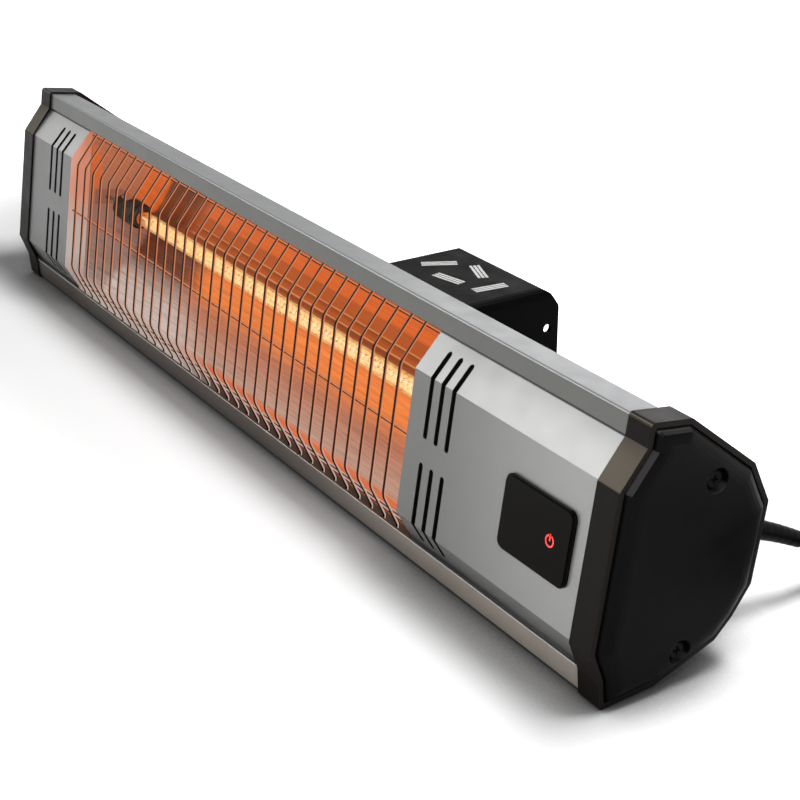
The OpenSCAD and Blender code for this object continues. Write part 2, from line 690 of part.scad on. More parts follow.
module lamp_holder_left() color([0.75, 0.75, 0.76]) at_lamp() mirror([1, 0, 0]) lamp_holder();
module lamp_holder_right() color([0.75, 0.75, 0.76]) at_lamp() lamp_holder();

// ---------- electrics in the right-hand end ----------

gland_in = 29;              // from the cord gland to the end of the case
gland_x = end_x - gland_in;
gland_h = 59;

board_w = 62;
board_over = 1.8;           // how far the board reaches past the case's back flat
board_h = back_flat_h + 2 * board_over;
board_gap = 10;             // between the bulkhead and the board
board_x = bulk_x1 + bulkhead_t + board_gap + board_w / 2;
board_z = back_mid;
standoff_h = 5;
standoff_r = 2.8;
board_back = back_in - standoff_h;
board_t = 1.6;
board_screw_r = 1.4;
board_nut_r = 2.4;
hole_in = 4;                // from the board's sides to its holes
hole_rise = board_h / 2 - 9;
module board_places() for (x = [-1, 1], z = [-1, 1])
    translate([board_x + x * (board_w / 2 - hole_in), 0, board_z + z * hole_rise]) children();
module control_board() color([0.12, 0.38, 0.22]) in_case() difference() {
    translate([board_x, 0, board_z]) along_y(board_back - board_t, board_back) slab(board_w, board_h, 1.5);
    board_places() rod_y(board_back - 3, board_back + 1, board_screw_r + pin_gap);
}
module board_standoffs() color([0.8, 0.68, 0.35]) in_case() board_places() {
    rod_y(board_back, back_in - 0.05, standoff_r);
    rod_y(board_back - board_t - 1.4, board_back, board_screw_r);
    rod_y(board_back - board_t - 3, board_back - board_t - 0.02, board_nut_r);
}
relay = [19, 15.5, 15.5];
transformer = [8, 10, 20];
capacitor_r = 5;
capacitor_h = 14;
module board_components() color([0.15, 0.25, 0.55]) in_case()
    translate([board_x, board_back - board_t, board_z]) {
        translate([2, -relay.y, -12]) cube(relay);
        translate([3, 0, 11]) rod_y(-capacitor_h, 0, capacitor_r);
        translate([-10, -transformer.y, -16]) cube(transformer);
    }
terminal_side = 17;         // from the board's middle to the terminals
terminal_x = board_x - terminal_side;
terminal_pitch = 7;         // four terminals, one over the other
terminal_depth = 13;
terminal_w = 10;
TERMINALS = [-1.5, -0.5, 0.5, 1.5];
terminal_face = board_back - board_t - terminal_depth;
module terminal_block() color([0.9, 0.9, 0.86]) in_case()
    translate([terminal_x, terminal_face, board_z]) difference() {
        translate([-terminal_w / 2, 0, -2 * terminal_pitch])
            cube([terminal_w, terminal_depth, 4 * terminal_pitch]);
        for (k = TERMINALS) translate([0, 0, k * terminal_pitch]) rod_y(-1, terminal_depth - 5, 2.2);
    }

// Leads from the ceramics' ends, through the bulkheads, into the terminals
lead_start = tube_x + bury + 2;
past = bulk_from_lamp + bulkhead_t;
term = [terminal_x - open_mid, terminal_face - lamp_y, board_z - lamp_z];
term_3 = term + [0, 0, TERMINALS[2] * terminal_pitch];
term_4 = term + [0, 0, TERMINALS[3] * terminal_pitch];
lead_right = [[lead_start, 0, 0], [past + 2, 0, 0], [past + 6, 1.5, 1], [past + 9, 5, 3.5],
    term_4 + [-3, -13, -1], term_4 + [0, -7, 0], term_4 + [0, 5, 0]];
lead_left = [[-lead_start, 0, 0], [-past - 1, 0, 0], [-past - 5, 1.5, -1], [-past - 8, 6, -5],
    [-past - 8, 16, -13], [-past - 6, 25, -20], [-past - 1, 31, -23.5],
    [-past + 8, 32, -24], [past + 2, 32, -24], [past + 8, 30, -22], [past + 13, 24, -17],
    term_3 + [-4, -11, -6], term_3 + [0, -5, 0], term_3 + [0, 5, 0]];
module lamp_leads() color([0.85, 0.83, 0.78]) at_lamp() {
    swept(longer_ends(lead_right), same(lead_r, len(lead_right)), 8, [0, 0.2, 1]);
    swept(longer_ends(lead_left), same(lead_r, len(lead_left)), 8, [0, 0.2, 1]);
}

// Mains cores from the gland to the terminals, and the touch switch's cable to its board
core_r = 1.2;
at_gland = [gland_x, back_in - 7, gland_h];
at_terminal = [terminal_x, terminal_face, board_z];
term_1 = at_terminal + [0, 0, TERMINALS[0] * terminal_pitch];
term_2 = at_terminal + [0, 0, TERMINALS[1] * terminal_pitch];
function moved(pts, by) = [for (p = pts) by + p];
way_live = concat(
    moved([[0, 0, 2.4], [0, -5, 2.4], [-2, -10, 2.8], [-8, -17, 2], [-20, -21, -1], [-50, -21, -4]],
        at_gland),
    moved([[9, -9, -1], [3, -8, -0.5], [0, -4, 0], [0, 4, 0]], term_1));
way_neutral = concat(
    moved([[0, 0, -2.4], [0, -6, -2.4], [-3, -13, -3], [-10, -21, -3], [-22, -25, -2], [-50, -25, 0]],
        at_gland),
    moved([[9, -13, -2], [3, -11, -0.5], [0, -4, 0], [0, 4, 0]], term_2));
way_touch = concat(
    moved([[-6, 6, 0], [-6, 9, 0], [-7, 14, 1], [-12, 22, 6], [-20, 34, 12]], [win_x, board_y, slot_mid]),
    moved([[17, -26, 14], [11, -18, 15], [10, -11, 15], [10, -6, 15]], [board_x, board_back, board_z]));
module inner_wiring() color([0.55, 0.35, 0.2]) in_case() {
    for (way = [way_live, way_neutral, way_touch])
        swept(longer_ends(way), same(core_r, len(way)), 8, [1, 0.02, 1]);
}

// Snap disc on the reflector's back that breaks the circuit when the case is too hot
cutout_side = 90;           // from the lamp's middle
cutout_r = 7.2;
cutout_h = 7;
tag_w = 6;
module thermal_cutout() color([0.7, 0.68, 0.62]) in_case()
    translate([open_mid + cutout_side, reflector_depth + reflector_t / 2 + 0.05, middle_z]) {
        rod_y(0, 1, cutout_r + 1);
        rod_y(1, cutout_h, cutout_r);
        for (x = [-1, 1]) translate([x * cutout_r / 2 - 0.4, cutout_h, -tag_w / 2]) cube([0.8, 7, tag_w]);
    }

// ---------- pivot bracket on the back ----------

inner_half = arm_w / 2 - arm_t;
washer_t = 1;
washer_gap = 0.1;
ear_t = 2.5;
ear_x1 = inner_half - washer_t - washer_gap;
ear_x0 = ear_x1 - ear_t;
bracket_h = 25;
bracket_low = pivot_h - 13;
bracket_screw_r = 2;
bracket_head_r = 3.8;
bracket_head_h = 2.2;
bracket_screw_side = 27;    // from the middle of the case
bracket_screw_rise = 7;     // from the middle of the bracket
module bracket_screw_places() for (x = [-1, 1], z = [-1, 1])
    translate([x * bracket_screw_side, 0, bracket_low + bracket_h / 2 - 0.5 + z * bracket_screw_rise]) children();
ear_side = ear_r - 0.5;
module pivot_bracket() color([0.07, 0.07, 0.07]) in_case() difference() {
    union() {
        translate([-ear_x1, back_out, bracket_low]) cube([2 * ear_x1, ear_t, bracket_h]);
        on_both_ends() along_x(ear_x0, ear_x1) {
            translate([back_out, pivot_h - ear_side]) square([pivot_case.x - back_out, 2 * ear_side]);
            translate(pivot_case) circle(ear_side);
        }
    }
    on_both_ends() translate([0, pivot_case.x, pivot_case.y]) rod_x(ear_x0 - 1, ear_x1 + 1, bolt_r + pin_gap);
    bracket_screw_places() rod_y(back_out - 1, back_out + ear_t + 1, bracket_screw_r + pin_gap);
}
module bracket_screws() color([0.5, 0.5, 0.52]) in_case() bracket_screw_places() {
    rod_y(back_in - 3, back_out + ear_t, bracket_screw_r);
    difference() {
        rod_y(back_out + ear_t, back_out + ear_t + bracket_head_h, bracket_head_r);
        for (a = [0, 90]) rotate([0, a, 0]) translate([-cross_l / 2, back_out + ear_t + 1, -cross_w / 2])
            cube([cross_l, bracket_head_h, cross_w]);
    }
}

bolt_r = bolt_d / 2;
bolt_head_h = 3.6;
nut_t = 5;
module at_pivot() in_case() translate([0, pivot_case.x, pivot_case.y]) children();
module pivot_bolts() color([0.1, 0.1, 0.1]) at_pivot() on_both_ends() {
    head_x = arm_w / 2 + washer_gap;
    rod_x(ear_x0 - nut_t - 1.5, head_x, bolt_r);
    difference() {
        rod_x(head_x, head_x + bolt_head_h, 1.75 * bolt_r);
        translate([head_x + bolt_head_h - 2, 0, 0]) rotate([0, 90, 0]) cylinder(r = 2.3, h = 3, $fn = 6);
    }
}
module pivot_nuts() color([0.6, 0.6, 0.62]) at_pivot() on_both_ends() difference() {
    translate([ear_x0 - nut_t, 0, 0]) rotate([0, 90, 0]) cylinder(r = bolt_d * 0.96, h = nut_t, $fn = 6);
    rod_x(ear_x0 - nut_t - 1, ear_x0 + 1, bolt_r + 0.03);
}
module friction_washers() color([0.55, 0.5, 0.45]) at_pivot() on_both_ends() difference() {
    rod_x(ear_x1, ear_x1 + washer_t, ear_r - 3);
    rod_x(ear_x1 - 1, ear_x1 + washer_t + 1, bolt_r + pin_gap);
}

// ---------- mounting arm ----------

ear_points = [
    [pivot.x - ear_r, pivot.y + ear_r],
    [pivot.x - ear_r, pivot.y - ear_r],
    [pivot.x + foot_back, 0],
    [arm_rear, 0],
    [arm_rear, arm_top - 11.6],
    [arm_rear - 6, arm_top - 2.8],
    [arm_rear - 11, arm_top],
    [pivot.x + web_back, arm_top],
    [pivot.x + 3, pivot.y + ear_r]];
ear_rounding = [9, 9, 6, 3, 4, 4, 3, 3, 3];
arm_half = arm_w / 2;
fold_r = 6;         // outer radius of the folds between the web and the ears
module arm_section() difference() {
    polygon(rounded([[-arm_half, -5], [arm_half, -5], [arm_half, arm_top], [-arm_half, arm_top]],
        [0.1, 0.1, fold_r, fold_r]));
    polygon(rounded([[-inner_half, -6], [inner_half, -6], [inner_half, arm_top - arm_t], [-inner_half, arm_top - arm_t]],
        [0.1, 0.1, fold_r - arm_t, fold_r - arm_t]));
}
module mounting_arm() color([0.05, 0.05, 0.05]) on_floor() difference() {
    intersection() {
        along_x(-arm_half - 1, arm_half + 1) polygon(rounded(ear_points, ear_rounding, 6));
        along_y(pivot.x - 2 * ear_r, arm_rear + 1) arm_section();
    }
    // the web starts behind the pivot, clear of the case
    translate([-inner_half, pivot.x - 3 * ear_r, 0])
        cube([2 * inner_half, 3 * ear_r + web_back, arm_top + 1]);
    translate([0, pivot.x, pivot.y]) rod_x(-arm_w, arm_w, bolt_r + pin_gap);
    translate([0, arm_rear - mount_hole_in, mount_hole_h]) rod_x(-arm_w, arm_w, mount_hole_r);
}

// ---------- cord: gland, boot, free stretch, coil, tie and plug ----------

gland_neck_r = 6.5;
gland_r = 9;
gland_t = 3;
cord_r = cord_d / 2;
module cord_gland() color([0.06, 0.06, 0.06]) in_case() translate([gland_x, 0, gland_h]) {
    rod_y(back_out, back_out + gland_t, gland_r);
    rod_y(back_in - 7, back_out, gland_neck_r);
}
module gland_nut() color([0.08, 0.08, 0.08]) in_case() translate([gland_x, 0, gland_h]) difference() {
    translate([0, back_in - 5.5, 0]) rotate([-90, 0, 0]) cylinder(r = 9.4, h = 5.4, $fn = 6);
    rod_y(back_in - 8, back_in + 1, gland_neck_r + pin_gap);
}

// Where the boot leaves the gland, and the way it points
gland_out = let (p = leaned([back_out + gland_t, gland_h])) [gland_x, p.x - mid_y, p.y + lift];
out_dir = [0, cos(lean), -sin(lean)];

// The cord's way after the gland, by hand: along the boot, then down to the floor
boot_way = moved([[0, 18, 43.5], [1, 29, 39.5], [2, 39, 35]], [gland_x, 0, 0]);
cord_way = moved([[3, 49, 30], [3, 58, 25], [2.5, 67, 19.5], [2, 76, 14.2], [1, 85, 9.6],
    [0, 94, 6.4], [-0.7, 103, 4.8], [-1, 109, 4.5]], [gland_x, 0, 0]);
coil_start = [gland_x - 1, 114, 4.5];

tie_t = 0.8;
tie_w = 10;
tie_gap = 0.6;
layer_gap = 0.5;
coil_pitch = cord_d + layer_gap;
coil_in_r = coil_mid_d / 2 - coil_pitch * coil_turns / 4;
coil_centre = coil_start + [coil_in_r + coil_pitch * coil_turns / 2, 0, 0];
loop_rings = 24;
function eased(s) = let (c = max(0, min(1, s))) c * c * (3 - 2 * c);
function coil_at(t) = let (a = 180 - 360 * t, r = coil_in_r + coil_pitch * abs(coil_turns / 2 - t))
    coil_centre + [r * cos(a), r * sin(a), coil_pitch * eased(2 * (t - coil_turns / 2) + 0.5)];
coil_steps = coil_turns * loop_rings;
coil_way = [for (k = [0:coil_steps]) coil_at(k / loop_rings)];
coil_end = coil_way[coil_steps];
tail_way = moved([[0, -9, 0.5], [0, -18, 1.8], [0, -27, 3.8], [0, -35, 5.05], [0, -42, 5.05]], coil_end);

plug_at = tail_way[len(tail_way) - 1];
whole_way = concat([gland_out - out_dir * 5, gland_out, gland_out + out_dir * 8],
    boot_way, cord_way, coil_way, tail_way, [plug_at + [0, -5, 0]]);
boot_n = 2 + len(boot_way);
free_n = len(cord_way);
function part_of(from, to) = [for (i = [from:to]) whole_way[i]];
up = [0, 0, 1];
boot_tip_r = cord_r + 0.5;
boot_root_r = cord_r + 2.2;
boot_radii = [for (k = [0:boot_n]) boot_root_r + (boot_tip_r - boot_root_r) * k / boot_n];

module cord_boot() color([0.05, 0.05, 0.05]) swept(part_of(0, boot_n + 2), boot_radii, 12, up);
module power_cord() color([0.05, 0.05, 0.05])
    swept(part_of(boot_n, boot_n + free_n + 1), same(cord_r, free_n), 10, up);
module cord_coil() color([0.05, 0.05, 0.05]) swept(part_of(boot_n + free_n - 1, len(whole_way) - 1),
    same(cord_r, len(coil_way) + len(tail_way) + 1), 6, up);

// A strap round all the turns, on the coil's far side
module cord_tie() color([0.08, 0.08, 0.08]) {
    in_r = coil_in_r - cord_r - tie_gap;
    out_r = coil_in_r + coil_pitch * coil_turns / 2 + cord_r + tie_gap;
    high = coil_pitch + cord_d + 0.2;
    translate([coil_centre.x, coil_centre.y, coil_start.z + coil_pitch / 2])
        along_x(-tie_w / 2, tie_w / 2) difference() {
            translate([(in_r + out_r) / 2, 0]) slab(out_r - in_r + 2 * tie_t, high + 2 * tie_t, 4);
            translate([(in_r + out_r) / 2, 0]) slab(out_r - in_r, high, 3.4);
        }
}

plug_profile = [[0, 0], [5.5, 0], [7.5, 16], [11, 24], [12.5, 27], [16.5, 30], [17, 32], [17, 44], [16, 45],
    [0, 45]];
module plug_body() color([0.06, 0.06, 0.06]) translate(plug_at) rotate([90, 0, 0]) rotate_extrude()
    polygon(plug_profile);
plug_len = plug_profile[len(plug_profile) - 1].y;
pin_len = 19;
pin_side = 9.5;
pin_r = 2.4;
module plug_pins() color([0.8, 0.8, 0.8]) translate(plug_at) for (x = [-pin_side, pin_side])
    translate([x, 0, 0]) rod_y(-plug_len - pin_len, -plug_len, pin_r);

function gap_to_self(pts, r, apart) = min([for (i = [0:len(pts) - 1]) for (j = [i + apart:1:len(pts) - 1])
    norm(pts[i] - pts[j])]) - 2 * r;
function length_of(pts, i = 1, so_far = 0) = i >= len(pts) ? so_far :
    length_of(pts, i + 1, so_far + norm(pts[i] - pts[i - 1]));
echo(heating_coil_gap = gap_to_self([for (k = [10:40]) coil_points[k]], coil_wire_d / 2, 5));
echo(cord_coil_gap = gap_to_self(coil_way, cord_r, 8));
echo(cord_length = length_of(part_of(boot_n, len(whole_way) - 2)));

housing_shell();
front_panel_left();
front_panel_right();
end_frame_left();
end_frame_right();
end_cover_left();
end_cover_right();
end_cover_screws();
reflector();
bulkhead_left();
bulkhead_right();
quartz_tube();
heating_coil();
lamp_ceramic_left();
lamp_ceramic_right();
lamp_holder_left();
lamp_holder_right();
lamp_leads();
guard_uprights();
guard_cross_wires();
touch_window();
power_symbol();
touch_board();
control_board();
board_standoffs();
board_components();
terminal_block();
inner_wiring();
thermal_cutout();
pivot_bracket();
bracket_screws();
pivot_bolts();
pivot_nuts();
friction_washers();
mounting_arm();
cord_gland();
gland_nut();
cord_boot();
power_cord();
cord_coil();
cord_tie();
plug_body();
plug_pins();
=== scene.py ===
import bpy
import bmesh
import json
import math
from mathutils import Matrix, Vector


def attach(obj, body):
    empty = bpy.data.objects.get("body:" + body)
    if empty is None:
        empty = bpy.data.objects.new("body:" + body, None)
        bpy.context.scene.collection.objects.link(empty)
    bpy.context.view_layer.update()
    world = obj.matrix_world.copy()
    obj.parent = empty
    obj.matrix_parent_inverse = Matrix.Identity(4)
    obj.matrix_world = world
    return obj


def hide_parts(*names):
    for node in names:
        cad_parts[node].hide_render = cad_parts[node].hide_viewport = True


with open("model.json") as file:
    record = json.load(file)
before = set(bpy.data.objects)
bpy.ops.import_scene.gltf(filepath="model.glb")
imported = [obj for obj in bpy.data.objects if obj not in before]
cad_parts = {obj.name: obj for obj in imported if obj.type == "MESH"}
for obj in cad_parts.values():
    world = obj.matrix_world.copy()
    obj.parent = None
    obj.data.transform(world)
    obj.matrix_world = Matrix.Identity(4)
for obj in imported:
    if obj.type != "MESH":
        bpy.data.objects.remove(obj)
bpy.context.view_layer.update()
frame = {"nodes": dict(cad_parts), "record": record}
NODES = frame["nodes"]
MM = 0.001

# ---------- the leaning case: its own [x, y, z] in mm, and the row frame in metres ----------

LEAN = math.radians(8.45)
MID_Y = 90.8147
LIFT = -0.118253
COS, SIN = math.cos(LEAN), math.sin(LEAN)
OPEN_MID, OPEN_HALF = -37.25, 209.25  # the opening, along the bar
LAMP_Y, LAMP_Z = 30.0, 69.5


def case(x, y, z):
    return Vector((x, y * COS + z * SIN - MID_Y, z * COS - y * SIN + LIFT)) * MM


def link(obj):
    bpy.context.scene.collection.objects.link(obj)
    return obj


# ---------- camera ----------

CAM_AT = (799.919, -495.844, 426.893)
CAM_PITCH, CAM_YAW = 24.386, 57.410
FOCAL_PX, PHOTO_PX = 1721.84, 800
SENSOR = 36
cam = link(bpy.data.objects.new("camera", bpy.data.cameras.new("camera")))
cam.location = Vector(CAM_AT) * MM
cam.rotation_euler = (math.radians(90 - CAM_PITCH), 0, math.radians(CAM_YAW))
cam.data.sensor_width = SENSOR
cam.data.lens = FOCAL_PX * SENSOR / PHOTO_PX
cam.data.clip_start = 0.02
cam.data.clip_end = 60
bpy.context.scene.camera = cam

# ---------- shapes from points ----------

BETWEEN = 6  # steps between two points of the cord's way


def through(pts):
    """A smooth line through the points."""
    pts = [Vector(p) for p in pts]
    ends = [2 * pts[0] - pts[1]] + pts + [2 * pts[-1] - pts[-2]]
    out = []
    for i in range(1, len(ends) - 2):
        a, b, c, d = ends[i - 1:i + 3]
        for k in range(BETWEEN):
            t = k / BETWEEN
            out.append(0.5 * (2 * b + (c - a) * t + (2 * a - 5 * b + 4 * c - d) * t * t
                              + (3 * b - a - 3 * c + d) * t ** 3))
    return out + [pts[-1]]


def tube_curve(name, lines, radius, resolution):
    """Round wires or cords along lines of points in metres."""
    data = bpy.data.curves.new(name, "CURVE")
    data.dimensions = "3D"
    data.bevel_depth = radius
    data.bevel_resolution = resolution
    data.use_fill_caps = True
    for line in lines:
        spline = data.splines.new("POLY")
        spline.points.add(len(line) - 1)
        for point, p in zip(spline.points, line):
            point.co = (p[0], p[1], p[2], 1)
        spline.use_smooth = True
    return link(bpy.data.objects.new(name, data))


def meshed(name, bm, sharp=35):
    """The mesh as a smooth object, with edges sharp from an angle on."""
    bmesh.ops.recalc_face_normals(bm, faces=bm.faces)
    data = bpy.data.meshes.new(name)
    bm.to_mesh(data)
    bm.free()
    for poly in data.polygons:
        poly.use_smooth = True
    data.set_sharp_from_angle(angle=math.radians(sharp))
    return link(bpy.data.objects.new(name, data))


def ring(centre, u, v, r, n):
    """n points of a circle, in metres, about a centre in mm."""
    turns = (2 * math.pi * k / n for k in range(n))
    return [(centre + r * (u * math.cos(a) + v * math.sin(a))) * MM for a in turns]


def skinned(name, rings):
    """A closed skin over rings of points."""
    bm = bmesh.new()
    rings = [[bm.verts.new(p) for p in points] for points in rings]
    n = len(rings[0])
    for a, b in zip(rings, rings[1:]):
        for k in range(n):
            bm.faces.new((a[k], a[(k + 1) % n], b[(k + 1) % n], b[k]))
    bm.faces.new(rings[0][::-1])
    bm.faces.new(rings[-1])
    return meshed(name, bm)


def revolved(name, profile, at, axis):
    """A turned piece: profile is [along, radius] in mm, from at along axis."""
    u = axis.cross(Vector((0, 0, 1))).normalized()
    v = axis.cross(u)
    return skinned(name, [ring(at + axis * along, u, v, r, 48) for along, r in profile])


def along_way(name, pts, radii):
    """A round body of changing radius along points in mm."""
    rings = []
    for i, p in enumerate(pts):
        way = (pts[min(i + 1, len(pts) - 1)] - pts[max(i - 1, 0)]).normalized()
        u = way.cross(Vector((1, 0, 0.001))).normalized()
        rings.append(ring(p, u, way.cross(u), radii[i], 32))
    return skinned(name, rings)


# ---------- cord: one curve from the gland to the plug ----------

GLAND_OUT = Vector((296, -3.90359, 46.6178))
OUT_DIR = Vector((0, COS, -SIN))
CORD_D = 7.0
BOOT_WAY = [(296, 18, 43.5), (297, 29, 39.5), (298, 39, 35)]
CORD_WAY = [(299, 49, 30), (299, 58, 25), (298.5, 67, 19.5), (298, 76, 14.2), (297, 85, 9.6),
            (296, 94, 6.4), (295.3, 103, 4.8), (295, 109, 4.5)]
TAIL_WAY = [(0, -9, 0.5), (0, -18, 1.8), (0, -27, 3.8), (0, -35, 5.05), (0, -42, 5.05)]
COIL_START = Vector((295, 114, 4.5))
TURNS, PITCH, IN_R = 6.5, 7.5, 28.3125
COIL_MID = COIL_START + Vector((IN_R + PITCH * TURNS / 2, 0, 0))
TURN_STEPS = 36


def eased(s):
    c = max(0.0, min(1.0, s))
    return c * c * (3 - 2 * c)


def coil_at(t):
    """The cord after t turns: inwards on the floor, up a layer, and outwards on top."""
    a, r = math.radians(180 - 360 * t), IN_R + PITCH * abs(TURNS / 2 - t)
    return COIL_MID + Vector((r * math.cos(a), r * math.sin(a), PITCH * eased(2 * (t - TURNS / 2) + 0.5)))


coil_pts = [coil_at(k / TURN_STEPS) for k in range(int(TURNS * TURN_STEPS) + 1)]
COIL_END = coil_pts[-1]
tail = [COIL_END + Vector(p) for p in TAIL_WAY]
PLUG_AT = tail[-1]
lead_in = through([GLAND_OUT, GLAND_OUT + 8 * OUT_DIR] + BOOT_WAY + CORD_WAY + [COIL_START])
lead_out = through([COIL_END] + tail)
route_m = [p * MM for p in lead_in[:-1] + coil_pts[:-1] + lead_out]
cord = tube_curve("mains_cord", [route_m], CORD_D / 2 * MM, 6)

# the boot covers the way to the first point of CORD_WAY
BOOT_ROOT_R, BOOT_TIP_R, TIP_ROUND = 5.7, 4.0, 0.35
RINGS_FROM, RINGS_TO, RING_PITCH, RING_DEEP = 0.16, 0.93, 4.6, 0.1
BOOT_STEPS = 120
boot_pts = lead_in[:BETWEEN * (2 + len(BOOT_WAY)) + 1]
boot_len = [0.0]
for a, b in zip(boot_pts, boot_pts[1:]):
    boot_len.append(boot_len[-1] + (b - a).length)


def boot_radius(s):
    """The boot's radius after s mm: a taper with faint moulded rings."""
    f = s / boot_len[-1]
    r = BOOT_ROOT_R + (BOOT_TIP_R - BOOT_ROOT_R) * min(1, f * 1.02)
    if RINGS_FROM < f < RINGS_TO:
        r -= RING_DEEP * max(0.0, math.sin(s * 2 * math.pi / RING_PITCH)) ** 2
    return r


fine_pts, fine_radii = [], []
for k in range(BOOT_STEPS + 1):
    s = boot_len[-1] * k / BOOT_STEPS
    i = min(max(j for j in range(len(boot_len)) if boot_len[j] <= s + 1e-9), len(boot_pts) - 2)
    fine_pts.append(boot_pts[i].lerp(boot_pts[i + 1], (s - boot_len[i]) / (boot_len[i + 1] - boot_len[i])))
    fine_radii.append(boot_radius(s) - TIP_ROUND * max(0, k - BOOT_STEPS + 2))
boot = along_way("cord_relief", fine_pts, fine_radii)

# ---------- shader nodes ----------


def add(t, kind, props=None, **ins):
    """A shader node: props are its settings, and ins its inputs by name, or by number as i0, i1 and so on."""
    node = t.nodes.new("ShaderNode" + kind)
    for key, value in (props or {}).items():
        setattr(node, key, value)
    for key, value in ins.items():
        if key[0] == "i" and key[1:].isdigit():
            socket = node.inputs[int(key[1:])]
        else:
            socket = node.inputs[key.replace("_", " ")]
        if isinstance(value, bpy.types.NodeSocket):
            t.links.new(value, socket)
        else:
            socket.default_value = value
    return node


def rgba(c):
    return (c[0], c[1], c[2], 1)


def srgb(r, g, b):
    """A colour as it shows on a screen, 0 to 255, as a linear one."""
    return tuple(((v / 255 + 0.055) / 1.055) ** 2.4 if v > 10 else v / 255 / 12.92 for v in (r, g, b))


def math_node(t, op, a, b=0.0):
    return add(t, "Math", {"operation": op}, i0=a, i1=b).outputs[0]


def product(t, a, b):
    return math_node(t, "MULTIPLY", a, b)


def spread(t, value, low, high, from_low=0.0, from_high=1.0):
    """The value's span from_low to from_high, spread over low to high."""
    return add(t, "MapRange", Value=value, From_Min=from_low, From_Max=from_high, To_Min=low, To_Max=high).outputs[0]


def smooth(t, value, low, high):
    """0 below low and 1 above high, or the other way round where low is the larger."""
    node = add(t, "MapRange", {"interpolation_type": "SMOOTHSTEP"}, Value=value, From_Min=min(low, high),
               From_Max=max(low, high), To_Min=0.0 if low < high else 1.0, To_Max=1.0 if low < high else 0.0)
    return node.outputs[0]


def ramp(t, fac, stops):
    node = add(t, "ValToRGB", i0=fac)
    cr = node.color_ramp
    while len(cr.elements) > 1:
        cr.elements.remove(cr.elements[-1])
    cr.elements[0].position = stops[0][0]
    cr.elements[0].color = rgba(stops[0][1])
    for pos, col in stops[1:]:
        cr.elements.new(pos).color = rgba(col)
    return node.outputs[0]


def mix(t, fac, a, b, blend="MIX"):
    node = add(t, "Mix", {"data_type": "RGBA", "blend_type": blend})
    for socket, value in ((node.inputs[0], fac), (node.inputs[6], a), (node.inputs[7], b)):
        if isinstance(value, bpy.types.NodeSocket):
            t.links.new(value, socket)
        else:
            socket.default_value = value if isinstance(value, (int, float)) else rgba(value)
    return node.outputs[2]


def start(name):
    m = bpy.data.materials.new(name)
    m.use_nodes = True
    t = m.node_tree
    t.nodes.clear()
    return m, t, t.nodes.new("ShaderNodeOutputMaterial")


def place(t):
    return add(t, "TexCoord").outputs["Object"]


def coords(t, scale=(1, 1, 1)):
    return add(t, "Mapping", i0=place(t), Scale=scale).outputs[0]


def noise(t, size, detail, rough=0.5, scale=(1, 1, 1)):
    return add(t, "TexNoise", i0=coords(t, scale), Scale=size, Detail=detail, Roughness=rough).outputs[0]


def along(t, vector, direction):
    return add(t, "VectorMath", {"operation": "DOT_PRODUCT"}, i0=vector, i1=direction).outputs["Value"]


def along_bar(t):
    """The place along the bar, in mm."""
    return along(t, place(t), (1 / MM, 0, 0))


def height_in_case(t):
    """The height in the case, in mm."""
    return math_node(t, "ADD", along(t, place(t), (0, SIN / MM, COS / MM)), MID_Y * SIN - LIFT * COS)


def depth_in_case(t):
    """The depth behind the opening's edge, in mm."""
    return math_node(t, "ADD", along(t, place(t), (0, COS / MM, -SIN / MM)), MID_Y * COS + LIFT * SIN)


def facing(t, direction):
    return along(t, add(t, "NewGeometry").outputs["Normal"], direction)


def facing_ends(t):
    """How far the surface faces along the bar, either way."""
    return math_node(t, "ABSOLUTE", facing(t, (1, 0, 0)))


def rays(t, *kinds):
    """1 for rays of these kinds, and 0 for others."""
    path = add(t, "LightPath")
    on = path.outputs["Is %s Ray" % kinds[0]]
    for kind in kinds[1:]:
        on = math_node(t, "MAXIMUM", on, path.outputs["Is %s Ray" % kind])
    return on


def finish_surface(t, out, **ins):
    t.links.new(add(t, "BsdfPrincipled", None, **ins).outputs[0], out.inputs["Surface"])


def bumped(t, strength, height, distance=0.0002):
    return add(t, "Bump", Strength=strength, Distance=distance, Height=height)


# ---------- plain finishes ----------


def grainy(name, colour, rough, metallic, grain, bump, vary, rough_vary=0.08, stretch=(1, 1, 1), edge=0.0003,
           **more):
    """A plain finish with its own fine grain, slight unevenness and softened edges."""
    m, t, out = start(name)
    small = noise(t, grain, 3.0, 0.6, stretch)
    large = noise(t, 60.0, 4.0, 0.55)
    dark = tuple(c * (1 - vary) for c in colour)
    light = tuple(min(1, c * (1 + vary)) for c in colour)
    base = ramp(t, mix(t, 0.5, small, large), [(0.3, dark), (0.7, light)])
    roughness = spread(t, large, max(0.02, rough - rough_vary), min(1, rough + rough_vary), 0.3, 0.7)
    normal = add(t, "Bevel", {"samples": 4}, Radius=edge).outputs[0]
    if bump:
        bumps = bumped(t, bump, small)
        t.links.new(normal, bumps.inputs["Normal"])
        normal = bumps.outputs[0]
    finish_surface(t, out, Base_Color=base, Roughness=roughness, Metallic=metallic, Normal=normal, **more)
    return m


